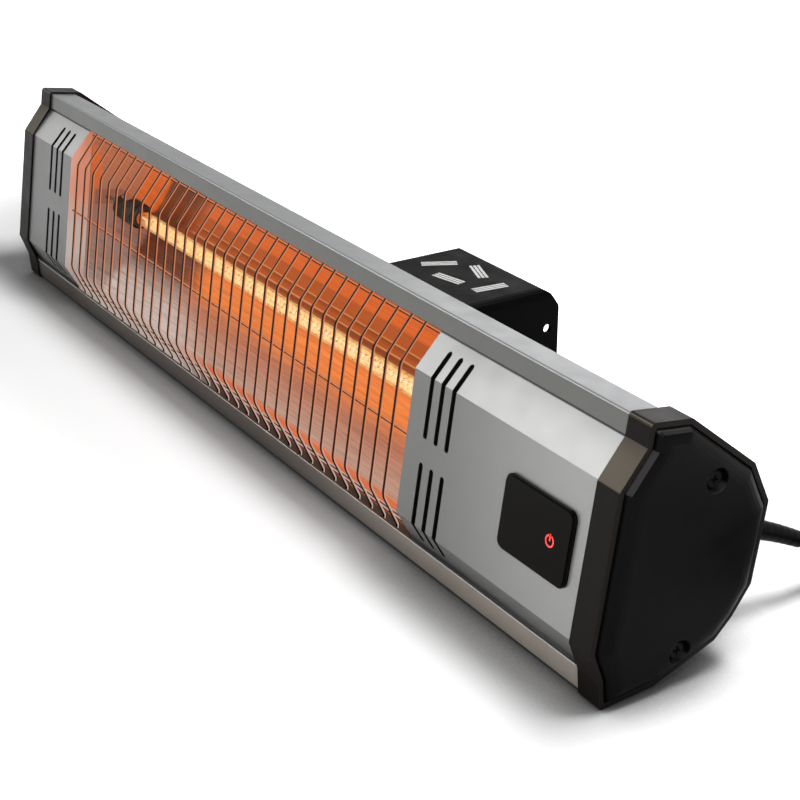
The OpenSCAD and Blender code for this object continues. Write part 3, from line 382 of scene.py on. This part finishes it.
# material slot: colour, roughness, metallic, grain, bump, unevenness, and what differs from the usual
FINISHES = {
    "shell_silver": ((138, 139, 140), 0.34, 0.35, 500, 0.05, 0.03,
                     dict(rough_vary=0.05, stretch=(0.02, 1, 1), edge=0.0004)),
    "panel_silver": ((145, 145, 144), 0.4, 0.35, 1400, 0.05, 0.04, dict(rough_vary=0.05, edge=0.0004)),
    "frame_black": ((24, 20, 17), 0.42, 0.0, 1500, 0.3, 0.2, dict(edge=0.0006, Specular_IOR_Level=0.07)),
    "cover_black": ((9, 9, 9), 0.38, 0.0, 1300, 0.25, 0.35, dict(edge=0.0008, Specular_IOR_Level=0.04)),
    "window_black": ((15, 12, 9), 0.07, 0.0, 300, 0.0, 0.1,
                     dict(rough_vary=0.02, edge=0.0004, Specular_IOR_Level=0.04)),
    # near black screw heads, painted as dark as the shade in their recesses
    "screw_steel": ((11, 11, 11), 0.5, 0.0, 900, 0.1, 0.1, dict(Specular_IOR_Level=0.05)),
    "bulkhead_aluminium": ((120, 112, 104), 0.45, 0.4, 700, 0.08, 0.08, {}),
    "holder_steel": ((70, 62, 54), 0.45, 0.5, 500, 0.1, 0.08, {}),
    "ceramic_grey": ((50, 52, 45), 0.7, 0.0, 700, 0.5, 0.2, {}),
    "lead_white": ((210, 205, 190), 0.8, 0.0, 2500, 0.6, 0.12, {}),
    "board_green": ((30, 90, 55), 0.45, 0.0, 800, 0.1, 0.1, {}),
    "brass_plain": ((190, 160, 90), 0.35, 0.9, 500, 0.05, 0.08, {}),
    "component_blue": ((40, 60, 120), 0.5, 0.0, 500, 0.1, 0.1, {}),
    "terminal_white": ((225, 224, 215), 0.5, 0.0, 500, 0.1, 0.05, {}),
    "wire_brown": ((110, 60, 30), 0.5, 0.0, 500, 0.1, 0.08, {}),
    "cutout_steel": ((170, 165, 155), 0.3, 0.9, 500, 0.05, 0.08, {}),
    "bracket_black": ((4, 4, 4), 0.45, 0.0, 1100, 0.3, 0.2, dict(edge=0.0004, Specular_IOR_Level=0.02)),
    "bolt_black": ((40, 40, 42), 0.35, 0.8, 800, 0.1, 0.1, {}),
    "washer_fibre": ((100, 84, 66), 0.8, 0.0, 1500, 0.5, 0.2, {}),
    "gland_black": ((26, 26, 26), 0.5, 0.0, 1200, 0.3, 0.2, {}),
    "rubber_black": ((7, 7, 8), 0.42, 0.0, 900, 0.12, 0.2, dict(Specular_IOR_Level=0.05)),
    "strap_black": ((32, 32, 33), 0.85, 0.0, 2500, 0.8, 0.3, dict(Sheen_Weight=0.25)),
    "plug_black": ((26, 26, 27), 0.5, 0.0, 1200, 0.35, 0.2, {}),
    "pin_nickel": ((200, 198, 192), 0.2, 1.0, 600, 0.02, 0.03, {}),
}
M = {name: grainy(name, srgb(*colour), *values, **more) for name, (colour, *values, more) in FINISHES.items()}


def base_colour(m):
    """The finish's node tree, the input of its base colour and what feeds that."""
    socket = next(n for n in m.node_tree.nodes if n.type == "BSDF_PRINCIPLED").inputs["Base Color"]
    return m.node_tree, socket, socket.links[0].from_socket


def painted_light_and_shade(m, direction, low, high, colour, height=None):
    """Paints light or shade into a finish where it faces the given way, and, if given, within a span of height in the
    case.
    """
    t, socket, plain = base_colour(m)
    uneven = spread(t, noise(t, 160.0, 4.0, 0.6), -0.03, 0.03)
    where = smooth(t, math_node(t, "ADD", facing(t, direction), uneven), low, high)
    if height:
        where = product(t, where, smooth(t, height_in_case(t), *height))
    t.links.new(mix(t, where, plain, colour), socket)


def rail_light_and_shade(t):
    """Painted light and shade on the bottom rail: darker towards the left end."""
    return mix(t, smooth(t, along_bar(t), 10.0, 260.0), srgb(118, 109, 102), srgb(206, 195, 184))


FRONT = (0, -COS, SIN)
# painted highlight on the end frames' upward front slope
painted_light_and_shade(M["frame_black"], (0, -0.78, 0.63), 0.9, 0.99, srgb(98, 90, 79))
# painted sheen on the covers' upper front edge and on their tops
painted_light_and_shade(M["cover_black"], (0.35, -0.6, 0.72), 0.78, 1.0, srgb(66, 64, 64))
painted_light_and_shade(M["cover_black"], (0.3, 0.1, 0.95), 0.8, 1.0, srgb(54, 53, 54))
# painted shade on the case's faces that look up
painted_light_and_shade(M["shell_silver"], (0, 0.15, 0.99), 0.6, 0.95, srgb(104, 105, 106))
# painted light and shade on the bottom rail's front
painted_light_and_shade(M["shell_silver"], (0, -0.99, -0.1), 0.5, 0.9, rail_light_and_shade(M["shell_silver"].node_tree), height=(24, 18))
# painted highlight: a bright line along the bottom rail's top edge
painted_light_and_shade(M["shell_silver"], (0, -0.99, -0.1), 0.93, 0.96, srgb(245, 240, 232), height=(12.9, 13.4))
# painted shade on the top lip's front face
painted_light_and_shade(M["shell_silver"], (0, -0.99, 0.15), 0.8, 0.95, srgb(104, 104, 101), height=(110, 116))

# ---------- the lamp's glow, and its light painted on the case ---

# its colours, painted as the lamp's light and reflections on the case, from the bright lines in the reflector's folds
# down to its dark ends
HOT = srgb(244, 166, 102)
BRIGHT = srgb(244, 130, 46)
ORANGE = srgb(228, 106, 44)
EMBER = srgb(234, 140, 94)
BLUSH = srgb(234, 142, 108)
TERRACOTTA = srgb(186, 112, 80)
BROWN = srgb(180, 88, 42)
DARK = srgb(136, 70, 38)
UMBER = srgb(106, 52, 28)
SOOT = srgb(72, 56, 48)
PALE = srgb(205, 187, 177)
ROSE = srgb(188, 148, 128)
MAUVE = srgb(162, 130, 118)
CLAY = srgb(156, 108, 94)
SHADE = srgb(112, 84, 84)
GLOW_LOW, GLOW_HIGH = 10.0, 126.0
CAST = 0.6  # how strongly the tube lights the case


def by_height(t, height, stops):
    """Bands of colour by the height in the case."""
    span = GLOW_HIGH - GLOW_LOW
    return ramp(t, spread(t, height, 0.0, 1.0, GLOW_LOW, GLOW_HIGH), [((z - GLOW_LOW) / span, c) for z, c in stops])


def glow_strength(t, strength, as_light=0.12):
    """The strength of a painted glow: whole as it is seen, and weaker as a light on other things."""
    return product(t, spread(t, rays(t, "Camera", "Glossy"), as_light, 1.0), strength)


def lit(m, colour, strength):
    """Paints the lamp's glow onto a finished surface, as emission."""
    for node in m.node_tree.nodes:
        if node.type == "BSDF_PRINCIPLED":
            m.node_tree.links.new(colour, node.inputs["Emission Color"])
            m.node_tree.links.new(glow_strength(m.node_tree, strength), node.inputs["Emission Strength"])


def light_panels(m):
    t, socket, plain = base_colour(m)
    # painted light and shade: the front darkens towards the lamp and the left end, and the slope pales towards both
    # ends
    x = along_bar(t)
    right = smooth(t, x, 180.0, 310.0)
    ends = math_node(t, "MAXIMUM", right, smooth(t, x, -240.0, -250.0))
    face, slope = spread(t, right, 0.72, 1.37), spread(t, ends, 0.95, 1.21)
    front = smooth(t, facing(t, FRONT), 0.94, 0.98)
    tone = mix(t, 1.0, plain, mix(t, front, slope, face), "MULTIPLY")
    # painted shade on the slots' inner walls and on the seam under the lip
    off_middle = math_node(t, "ABSOLUTE", math_node(t, "SUBTRACT", x, OPEN_MID))
    wall = product(t, smooth(t, facing_ends(t), 0.25, 0.5), smooth(t, off_middle, OPEN_HALF + 2, OPEN_HALF + 4))
    dark = math_node(t, "MAXIMUM", wall, smooth(t, height_in_case(t), 119.9, 120.5))
    t.links.new(mix(t, dark, tone, srgb(30, 28, 26)), socket)
    # painted glow: the flanges beside the opening face the lamp and take its colour as painted light
    flange = product(t, smooth(t, facing_ends(t), 0.8, 0.95), smooth(t, off_middle, OPEN_HALF + 0.5, OPEN_HALF - 0.5))
    glow = by_height(t, height_in_case(t), [(10, MAUVE), (38, PALE), (56, PALE), (80, BLUSH), (104, BLUSH),
                                             (126, ORANGE)])
    lit(m, glow, product(t, flange, 0.62))


def light_bulkheads(m):
    t = m.node_tree
    depth, height = depth_in_case(t), height_in_case(t)
    # the lamp's light painted on the end walls as a glow, in bands by height
    glow = by_height(t, height, [(10, PALE), (24, MAUVE), (60, CLAY), (84, TERRACOTTA), (112, TERRACOTTA),
                                 (126, DARK)])
    # painted reflection: beside the reflector's upper slope the lamp mirrors as an upright stripe
    high = smooth(t, height, 72.0, 78.0)
    stripe = product(t, product(t, smooth(t, depth, 16.2, 17.2), smooth(t, depth, 25.5, 24.0)), high)
    # painted shade nearer the opening, above the lamp's height
    glow = mix(t, product(t, smooth(t, depth, 17.0, 15.5), high), glow, SHADE)
    lit(m, mix(t, stripe, glow, ORANGE), 0.72)


def light_holders(m):
    """Spring steel with a painted reflection of the warm wall behind it."""
    t = m.node_tree
    lit(m, by_height(t, height_in_case(t), [(30, UMBER), (64, CLAY), (80, TERRACOTTA)]), 0.6)


light_panels(M["panel_silver"])
light_bulkheads(M["bulkhead_aluminium"])
light_holders(M["holder_steel"])


def guard_material():
    """Chrome wire painted dark brown for its dark reflection: its sides towards the lamp and the right end get a
    painted glow, and faces that look up a painted highlight.
    """
    m, t, out = start("guard_chrome")
    grain = noise(t, 700.0, 2.0)
    base = ramp(t, grain, [(0.35, srgb(30, 13, 8)), (0.65, srgb(52, 25, 16))])
    bright = by_height(t, height_in_case(t), [(10, PALE), (55, EMBER), (122, EMBER)])
    # painted glow on the sides towards the lamp and the right end, and a painted highlight on faces that look up
    side = smooth(t, facing(t, (0.77, 0.64, 0.0)), 0.5, 0.66)
    top = product(t, smooth(t, facing_ends(t), 0.2, 0.08), smooth(t, facing(t, (0, -0.35, 0.94)), 0.7, 0.9))
    shown = product(t, math_node(t, "MAXIMUM", side, top), 0.8)
    finish_surface(t, out, Base_Color=base, Roughness=spread(t, grain, 0.2, 0.34), Specular_IOR_Level=0.1,
                   Emission_Color=bright, Emission_Strength=glow_strength(t, shown))
    return m


def glowing_material(name, low, high, size, detail, rough):
    """A surface that glows by itself, between two like colours."""
    m, t, out = start(name)
    colour = ramp(t, noise(t, size, detail), [low, high])
    finish_surface(t, out, Base_Color=colour, Roughness=rough, Emission_Color=colour, Emission_Strength=1.0)
    return m


def tube_material():
    """Quartz full of the coil's glare; it also lights the case with the coil's deep orange."""
    m, t, out = start("quartz_glow")
    haze = ramp(t, noise(t, 520.0, 3.0, 0.6, (0.5, 1, 1)),
                [(0.36, DARK), (0.42, srgb(236, 176, 108)), (0.62, srgb(255, 222, 160))])
    glow = mix(t, smooth(t, along_bar(t), -212.0, -198.0), ORANGE, haze)
    emit = add(t, "Emission", Color=glow, Strength=0.95)
    clear = add(t, "BsdfTransparent", Color=(1, 0.97, 0.92, 1))
    shine = add(t, "BsdfGlossy", Color=(1, 1, 1, 1), Roughness=0.05)
    body = add(t, "MixShader", i0=0.42, i1=clear.outputs[0], i2=emit.outputs[0])
    skin = add(t, "MixShader", i0=0.04, i1=body.outputs[0], i2=shine.outputs[0])
    reach = smooth(t, add(t, "LightPath").outputs["Ray Length"], 0.09, 0.05)
    cast = add(t, "Emission", Color=(1.0, 0.22, 0.05, 1), Strength=product(t, reach, CAST))
    whole = add(t, "MixShader", i0=rays(t, "Camera"), i1=cast.outputs[0], i2=skin.outputs[0])
    t.links.new(whole.outputs[0], out.inputs["Surface"])
    return m


def reflector_material():
    """Bright rolled sheet with the lamp's light painted on it as a glow, in bands along the bar, fading towards the
    left end.
    """
    m, t, out = start("reflector_bright")
    x = along_bar(t)
    wave = spread(t, noise(t, 6.0, 2.0, scale=(1.2, 30, 30)), -0.6, 0.6)
    z = math_node(t, "ADD", height_in_case(t), wave)
    # the lamp's light and reflections painted in bands: bottom edge, lower slope, the trough behind the lamp, its two
    # folds with their painted bright lines, upper slope
    glow = by_height(t, z, [
        (14.4, SOOT), (15.6, ORANGE), (19.4, ORANGE), (21.6, ROSE), (37, TERRACOTTA), (48, BRIGHT),
        (56, BRIGHT), (62, ORANGE), (68, BROWN), (70.5, DARK), (72.7, DARK), (73.6, HOT), (74.7, BROWN),
        (76.5, BROWN), (82.5, DARK), (83.4, HOT), (84.5, BROWN), (98, BROWN), (101.5, ORANGE), (114, ORANGE),
        (119.5, BROWN)])
    # left of the lamp, painted reflections and shade: pale below, where the floor mirrors, brown at the lamp's
    # height, and leaning bands on the upper slope
    pale = by_height(t, z, [(31, PALE), (47, UMBER)])
    corner = by_height(t, z, [(10, PALE), (28, MAUVE), (40, MAUVE), (54, CLAY), (62, TERRACOTTA)])
    pale = mix(t, smooth(t, x, -214.0, -226.0), pale, corner)
    lean_x = math_node(t, "SUBTRACT", x, product(t, math_node(t, "SUBTRACT", z, 98.0), 2.0))
    first, last = -240.0, -90.0
    leaning = ramp(t, spread(t, lean_x, 0.0, 1.0, first, last), [((v - first) / (last - first), c) for v, c in [
        (-206, TERRACOTTA), (-201, ORANGE), (-171, ORANGE), (-166, UMBER), (-134, UMBER), (-105, BROWN)]])
    low_part = mix(t, smooth(t, x, -118.0, -160.0), glow, pale)
    slant = math_node(t, "ADD", x, product(t, z, 2.2))
    low_part = mix(t, smooth(t, slant, -10.0, -80.0), low_part, pale)
    high_part = mix(t, smooth(t, lean_x, -104.0, -124.0), glow, leaning)
    colour = mix(t, smooth(t, z, 61.0, 64.0), low_part, high_part)
    # the lines of the rolling
    lines = noise(t, 1.0, 3.0, 0.65, (26, 700, 700))
    streak = ramp(t, lines, [(0.3, (0.74, 0.7, 0.66)), (0.5, (0.96, 0.95, 0.94)), (0.7, (1.14, 1.16, 1.2))])
    colour = mix(t, 1.0, colour, streak, "MULTIPLY")
    sheet = mix(t, 0.75, colour, (0.02, 0.014, 0.01))
    finish_surface(t, out, Base_Color=sheet, Metallic=0.15, Roughness=spread(t, lines, 0.3, 0.42, 0.3, 0.7),
                   Normal=bumped(t, 0.12, lines).outputs[0], Specular_IOR_Level=0.12, Emission_Color=colour,
                   Emission_Strength=glow_strength(t, 0.74))
    return m


M["guard_chrome"] = guard_material()
M["symbol_red"] = glowing_material("symbol_red", (0.3, srgb(255, 40, 40)), (0.7, srgb(255, 84, 76)), 900.0, 2.0, 0.4)
M["coil_glow"] = glowing_material("coil_glow", (0.35, srgb(255, 222, 150)), (0.65, srgb(255, 244, 196)), 420.0, 3.0,
                                  0.6)
M["quartz_glow"] = tube_material()
M["reflector_bright"] = reflector_material()

record_slot = {s["node"]: s["material_slot"] for s in frame["record"]["subparts"]}
for name, node in NODES.items():
    slots = node.data.materials
    if not len(slots):
        slots.append(M[record_slot[name]])
    for k in range(len(slots)):
        slots[k] = M[record_slot[name]]


def dress(obj, slot, body="heater", mat=None):
    obj.data.materials.clear()
    obj.data.materials.append(mat or M[slot])
    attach(obj, body)
    return obj


# ---------- cord, boot, tie and plug ----------

dress(cord, "rubber_black")
dress(boot, "rubber_black")
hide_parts("power_cord", "cord_coil")
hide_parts("cord_boot")

TIE_GAP, TIE_T, TIE_HALF_W, TIE_CORNER = 0.2, 0.75, 4.8, 3.2


def tie_loop():
    """The strap's inner outline, [y, z] in mm from the coil's middle."""
    in_r = IN_R - CORD_D / 2 - TIE_GAP
    out_r = IN_R + PITCH * TURNS / 2 + CORD_D / 2 + TIE_GAP
    low = COIL_START.z - CORD_D / 2 - TIE_GAP
    high = COIL_START.z + PITCH + CORD_D / 2 + TIE_GAP
    mid = ((in_r + out_r) / 2, (low + high) / 2)
    half = ((out_r - in_r) / 2 - TIE_CORNER, (high - low) / 2 - TIE_CORNER)
    loop = []
    for cx, cz, a0 in ((1, 1, 0), (-1, 1, 90), (-1, -1, 180), (1, -1, 270)):
        for k in range(9):
            a = math.radians(a0 + 90 * k / 8)
            loop.append((mid[0] + cx * half[0] + TIE_CORNER * math.cos(a),
                         mid[1] + cz * half[1] + TIE_CORNER * math.sin(a)))
    return loop


def tie_piece():
    """A strap round all the turns, on the coil's far side."""
    bm = bmesh.new()
    loop = tie_loop()
    n = len(loop)
    rows = []
    for w in (-TIE_HALF_W, TIE_HALF_W):
        for grow in (0.0, TIE_T):
            row = []
            for k in range(n):
                a, b = loop[k - 1], loop[(k + 1) % n]
                out = Vector((b[1] - a[1], a[0] - b[0])).normalized() * grow
                y, z = loop[k][0] + out.x, loop[k][1] + out.y
                row.append(bm.verts.new(Vector((COIL_MID.x + w, COIL_MID.y + y, max(z, 0.05))) * MM))
            rows.append(row)
    for a, b in ((0, 1), (1, 3), (3, 2), (2, 0)):
        for k in range(n):
            j = (k + 1) % n
            bm.faces.new((rows[a][k], rows[a][j], rows[b][j], rows[b][k]))
    return meshed("tie_strap", bm, 40)


strap = tie_piece()
dress(strap, "strap_black")
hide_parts("cord_tie")

# a ribbed neck, a cone and a round head
plug_profile = [(0.2, 3.6), (0.4, 5.0), (1.2, 5.5)]
for k in range(1, 15):
    s = 1.2 + k * 1.0
    plug_profile.append((s, 5.5 + 2.0 * s / 16 - (0.55 if k % 3 == 1 else 0.0)))
plug_profile += [(17, 7.6), (20, 8.9), (24, 11.0), (26, 12.1), (27.4, 12.7), (28.6, 14.2), (30, 16.0), (31.4, 16.7),
                 (33, 17.0), (37, 17.0), (37.6, 16.6), (38.8, 16.6), (39.4, 17.0), (43.2, 17.0), (44.4, 16.6),
                 (44.9, 15.9), (45, 15.0)]
plug = revolved("plug_shell", plug_profile, PLUG_AT, Vector((0, -1, 0)))
dress(plug, "plug_black")
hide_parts("plug_body")

# ---------- guard: smooth upright wires, and the cross wires behind them ----------

WIRE_PATH = [(4.2, 126.8), (4.2, 121.4), (-8.3, 100.721), (-8.3, 30.4348), (2.70013, 13.4), (2.70013, 7.8)]
WIRE_BENDS = [3, 9, 9, 3]
WIRES, FIRST_WIRE, WIRE_STEP, WIRE_R = 33, -236.3, 12.28, 0.82
CROSS_AT = [(4.363, 118.731), (-6.78, 67.8), (-0.471, 21.112), (1.807, 17.584)]
CROSS_ENDS, CROSS_R = (-244.0, 169.5), 0.7


def rounded_path(pts, radii, n=8):
    """The path with an arc of each radius at its inner points."""
    pts = [Vector(p) for p in pts]
    out = [pts[0]]
    for i in range(1, len(pts) - 1):
        u, v = (pts[i] - pts[i - 1]).normalized(), (pts[i + 1] - pts[i]).normalized()
        ang = math.atan2(u.x * v.y - u.y * v.x, u.dot(v))
        r = radii[i - 1]
        first = pts[i] - u * r * math.tan(abs(ang) / 2)
        mid = first + math.copysign(r, ang) * Vector((-u.y, u.x))
        d = first - mid
        for k in range(n + 1):
            c, s = math.cos(ang * k / n), math.sin(ang * k / n)
            out.append(mid + Vector((d.x * c - d.y * s, d.x * s + d.y * c)))
    return out + [pts[-1]]


wire_line = rounded_path(WIRE_PATH, WIRE_BENDS)
wire_lines = [[case(FIRST_WIRE + WIRE_STEP * k, p.x, p.y) for p in wire_line] for k in range(WIRES)]
wires = tube_curve("guard_wires", wire_lines, WIRE_R * MM, 4)
dress(wires, "guard_chrome")
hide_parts("guard_uprights")
cross_lines = [[case(x, y, z) for x in CROSS_ENDS] for y, z in CROSS_AT]
cross_wires = tube_curve("guard_cross", cross_lines, CROSS_R * MM, 4)
dress(cross_wires, "guard_chrome")
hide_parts("guard_cross_wires")

# ---------- heating coil ----------

CURLS, COIL_SPAN, CURL_R, CURL_STEPS = 70, 333.5, 2.95, 16
TUBE_LONG, COIL_OUT, COIL_WIRE_R = 349.5, 3, 0.75
COIL_REACH = TUBE_LONG / 2 + COIL_OUT


def curl(t):
    """The coil after t curls, drawn in at its two ends."""
    r = CURL_R * min(1, 2 * t, 2 * (CURLS - t))
    a = 2 * math.pi * t
    return case(OPEN_MID - COIL_SPAN / 2 + COIL_SPAN / CURLS * t, LAMP_Y + r * math.cos(a), LAMP_Z + r * math.sin(a))


coil_line = ([case(OPEN_MID - COIL_REACH, LAMP_Y, LAMP_Z)]
             + [curl(k / CURL_STEPS) for k in range(CURLS * CURL_STEPS + 1)]
             + [case(OPEN_MID + COIL_REACH, LAMP_Y, LAMP_Z)])
glow_coil = tube_curve("glowing_coil", [coil_line], COIL_WIRE_R * MM, 2)
dress(glow_coil, "coil_glow")
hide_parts("heating_coil")

# ---------- painted shade: dark sheets behind the cooling slots ---

SHADE_SHEET_LINE = [(1.4, 116.4), (-7.4, 102.2), (-7.7, 101), (-7.7, 30), (-7.4, 29), (-1.6, 19.6)]
SHADE_SHEET_SPANS, SHADE_SHEET_T = ((176.5, 213), (-287, -251)), 0.4


def folded_sheet(bm, x0, x1):
    """A thin sheet along SHADE_SHEET_LINE, which is [y, z] in the case, from x0 to x1."""
    rows = []
    for x in (x0, x1):
        for d in (0.0, SHADE_SHEET_T):
            rows.append([bm.verts.new(case(x, y + d, z)) for y, z in SHADE_SHEET_LINE])
    for a, b in ((0, 1), (3, 2), (2, 0), (1, 3)):
        for k in range(len(SHADE_SHEET_LINE) - 1):
            bm.faces.new((rows[a][k], rows[a][k + 1], rows[b][k + 1], rows[b][k]))
    for k in (0, len(SHADE_SHEET_LINE) - 1):
        bm.faces.new((rows[0][k], rows[1][k], rows[3][k], rows[2][k]))


def shade_sheet_material():
    # a dark checked sheet that stands for the shade behind the slots
    m, t, out = start("slot_shade_sheet")
    checks = add(t, "TexChecker", i0=coords(t), Scale=900.0).outputs[1]
    dark_speckle = ramp(t, noise(t, 240.0, 3.0), [(0.3, srgb(10, 9, 8)), (0.7, srgb(26, 24, 22))])
    finish_surface(t, out, Base_Color=mix(t, checks, dark_speckle, srgb(4, 4, 4)), Roughness=0.75,
                   Specular_IOR_Level=0.1, Normal=bumped(t, 0.4, checks).outputs[0])
    return m


shade_sheet_bm = bmesh.new()
for x0, x1 in SHADE_SHEET_SPANS:
    folded_sheet(shade_sheet_bm, x0, x1)
shade_sheets = meshed("slot_shade_sheets", shade_sheet_bm, 30)
dress(shade_sheets, "frame_black", mat=shade_sheet_material())

# ---------- plain printed marks on the arm's web ----------

WEB_TOP, INK_UP, INK_DEEP = 67.8936, 0.05, 0.04
MARKS = ((-25, 60, 62), (0, 72, -20), (26, 62, 84), (0, 50, 12))  # middle and turn of each group
BAR_LONG, BAR_WIDE, BAR_STEP = 22, 1.7, 2.4


def print_material():
    m, t, out = start("print_white")
    wear = noise(t, 1200.0, 3.0)
    base = ramp(t, wear, [(0.3, srgb(158, 158, 156)), (0.6, srgb(206, 206, 203))])
    finish_surface(t, out, Base_Color=base, Roughness=0.6, Normal=bumped(t, 0.2, wear, 0.0001).outputs[0])
    return m


def bar(bm, cx, cy, c, s):
    """A printed bar about (cx, cy) on the web, turned by the angle of cosine c and sine s."""
    w, h = BAR_LONG / 2, BAR_WIDE / 2
    low, high = [], []
    for x, y in ((-w, -h), (w, -h), (w, h), (-w, h)):
        px, py = cx + x * c - y * s, cy + x * s + y * c
        low.append(bm.verts.new(Vector((px, py, WEB_TOP + INK_UP - INK_DEEP)) * MM))
        high.append(bm.verts.new(Vector((px, py, WEB_TOP + INK_UP)) * MM))
    bm.faces.new(low[::-1])
    bm.faces.new(high)
    for k in range(4):
        j = (k + 1) % 4
        bm.faces.new((low[k], low[j], high[j], high[k]))


mark_bm = bmesh.new()
for cx, cy, turn in MARKS:
    c, s = math.cos(math.radians(turn)), math.sin(math.radians(turn))
    for off in (-BAR_STEP, 0.0, BAR_STEP):
        bar(mark_bm, cx - off * s, cy + off * c, c, s)
marks = meshed("arm_marks", mark_bm, 30)
dress(marks, "terminal_white", body="arm", mat=print_material())

# ---------- floor and surround ----------

SEEN = ("Camera", "Glossy", "Transmission")
WHITE = (1, 1, 1, 1)
FLOOR_HALF, FLOOR_Z = 6, -0.0005
HALF_BAR = 0.27
CONTACT = 0.05  # how near the object's shadow on the floor deepens


def floor_material():
    m, t, out = start("floor_white")
    seen = rays(t, *SEEN)
    tone = mix(t, seen, (0.5, 0.5, 0.5), (0.93, 0.93, 0.93))
    # the contact shadow: the floor deepens where the object closes it in
    closed = add(t, "AmbientOcclusion", {"samples": 8}, Distance=CONTACT).outputs["AO"]
    tone = mix(t, spread(t, closed, 0.03, 1.0, 0.35, 0.8), (0.0, 0.0, 0.0), tone)
    diffuse = add(t, "BsdfDiffuse", Color=tone)
    # the floor brightens into the white surround away from the bar, and behind it sooner
    spot = add(t, "SeparateXYZ", i0=place(t))
    past_end = math_node(t, "MAXIMUM", math_node(t, "SUBTRACT", math_node(t, "ABSOLUTE", spot.outputs[0]), HALF_BAR),
                         0.0)
    across = math_node(t, "MAXIMUM", spot.outputs[1], product(t, spot.outputs[1], 2.2))
    away = add(t, "CombineXYZ", i0=past_end, i1=across).outputs[0]
    far = add(t, "VectorMath", {"operation": "LENGTH"}, i0=away).outputs["Value"]
    rise = add(t, "MapRange", {"interpolation_type": "SMOOTHSTEP"}, Value=far, From_Min=0.15, From_Max=0.4,
               To_Min=0.02, To_Max=1.0).outputs[0]
    lift = add(t, "Emission", Color=WHITE, Strength=product(t, seen, rise))
    total = add(t, "AddShader", i0=diffuse.outputs[0], i1=lift.outputs[0])
    t.links.new(total.outputs[0], out.inputs["Surface"])
    return m


floor_bm = bmesh.new()
bmesh.ops.create_grid(floor_bm, x_segments=2, y_segments=2, size=FLOOR_HALF)
floor = meshed("floor", floor_bm)
floor.location.z = FLOOR_Z
floor.data.materials.append(floor_material())

# white as it is seen, and a faint sky as a light
world = bpy.data.worlds.new("studio")
bpy.context.scene.world = world
world.use_nodes = True
wt = world.node_tree
wt.nodes.clear()
wout = wt.nodes.new("ShaderNodeOutputWorld")
up = add(wt, "SeparateXYZ", i0=add(wt, "TexCoord").outputs["Generated"]).outputs[2]
sky = add(wt, "MapRange", {"interpolation_type": "SMOOTHSTEP"}, Value=up, From_Min=-0.1, From_Max=0.9,
          To_Min=0.02, To_Max=0.11).outputs[0]
back = add(wt, "Background", Color=WHITE, Strength=spread(wt, rays(wt, *SEEN), sky, 1.0))
wt.links.new(back.outputs[0], wout.inputs["Surface"])

# ---------- lights ----------


def area(name, at, target, size, power, only_shine=False):
    """An area light from a place to a target: with only_shine it is seen in reflections alone."""
    data = bpy.data.lights.new(name, "AREA")
    data.shape = "RECTANGLE"
    data.size, data.size_y = size
    data.energy = power
    obj = link(bpy.data.objects.new(name, data))
    obj.location = at
    obj.rotation_euler = (Vector(target) - Vector(at)).to_track_quat("-Z", "Y").to_euler()
    obj.visible_diffuse = not only_shine


area("key", (0.34, 0.37, 1.45), (0.05, -0.02, 0), (0.6, 0.3), 23)
area("side", (1.35, -0.75, 0.8), (0.2, 0, 0.05), (0.6, 0.6), 7.5)
area("front_left", (-0.6, -0.77, 0.63), (0.05, 0, 0.1), (1.0, 0.5), 7.5, True)
area("front_low", (0.8, -1.2, 0.16), (0.2, 0, 0.05), (0.9, 0.16), 1.8)
area("back_left", (-0.62, 0.85, 0.5), (0.2, 0, 0.12), (0.6, 0.5), 1.6, True)

bpy.context.scene.view_settings.view_transform = "Standard"
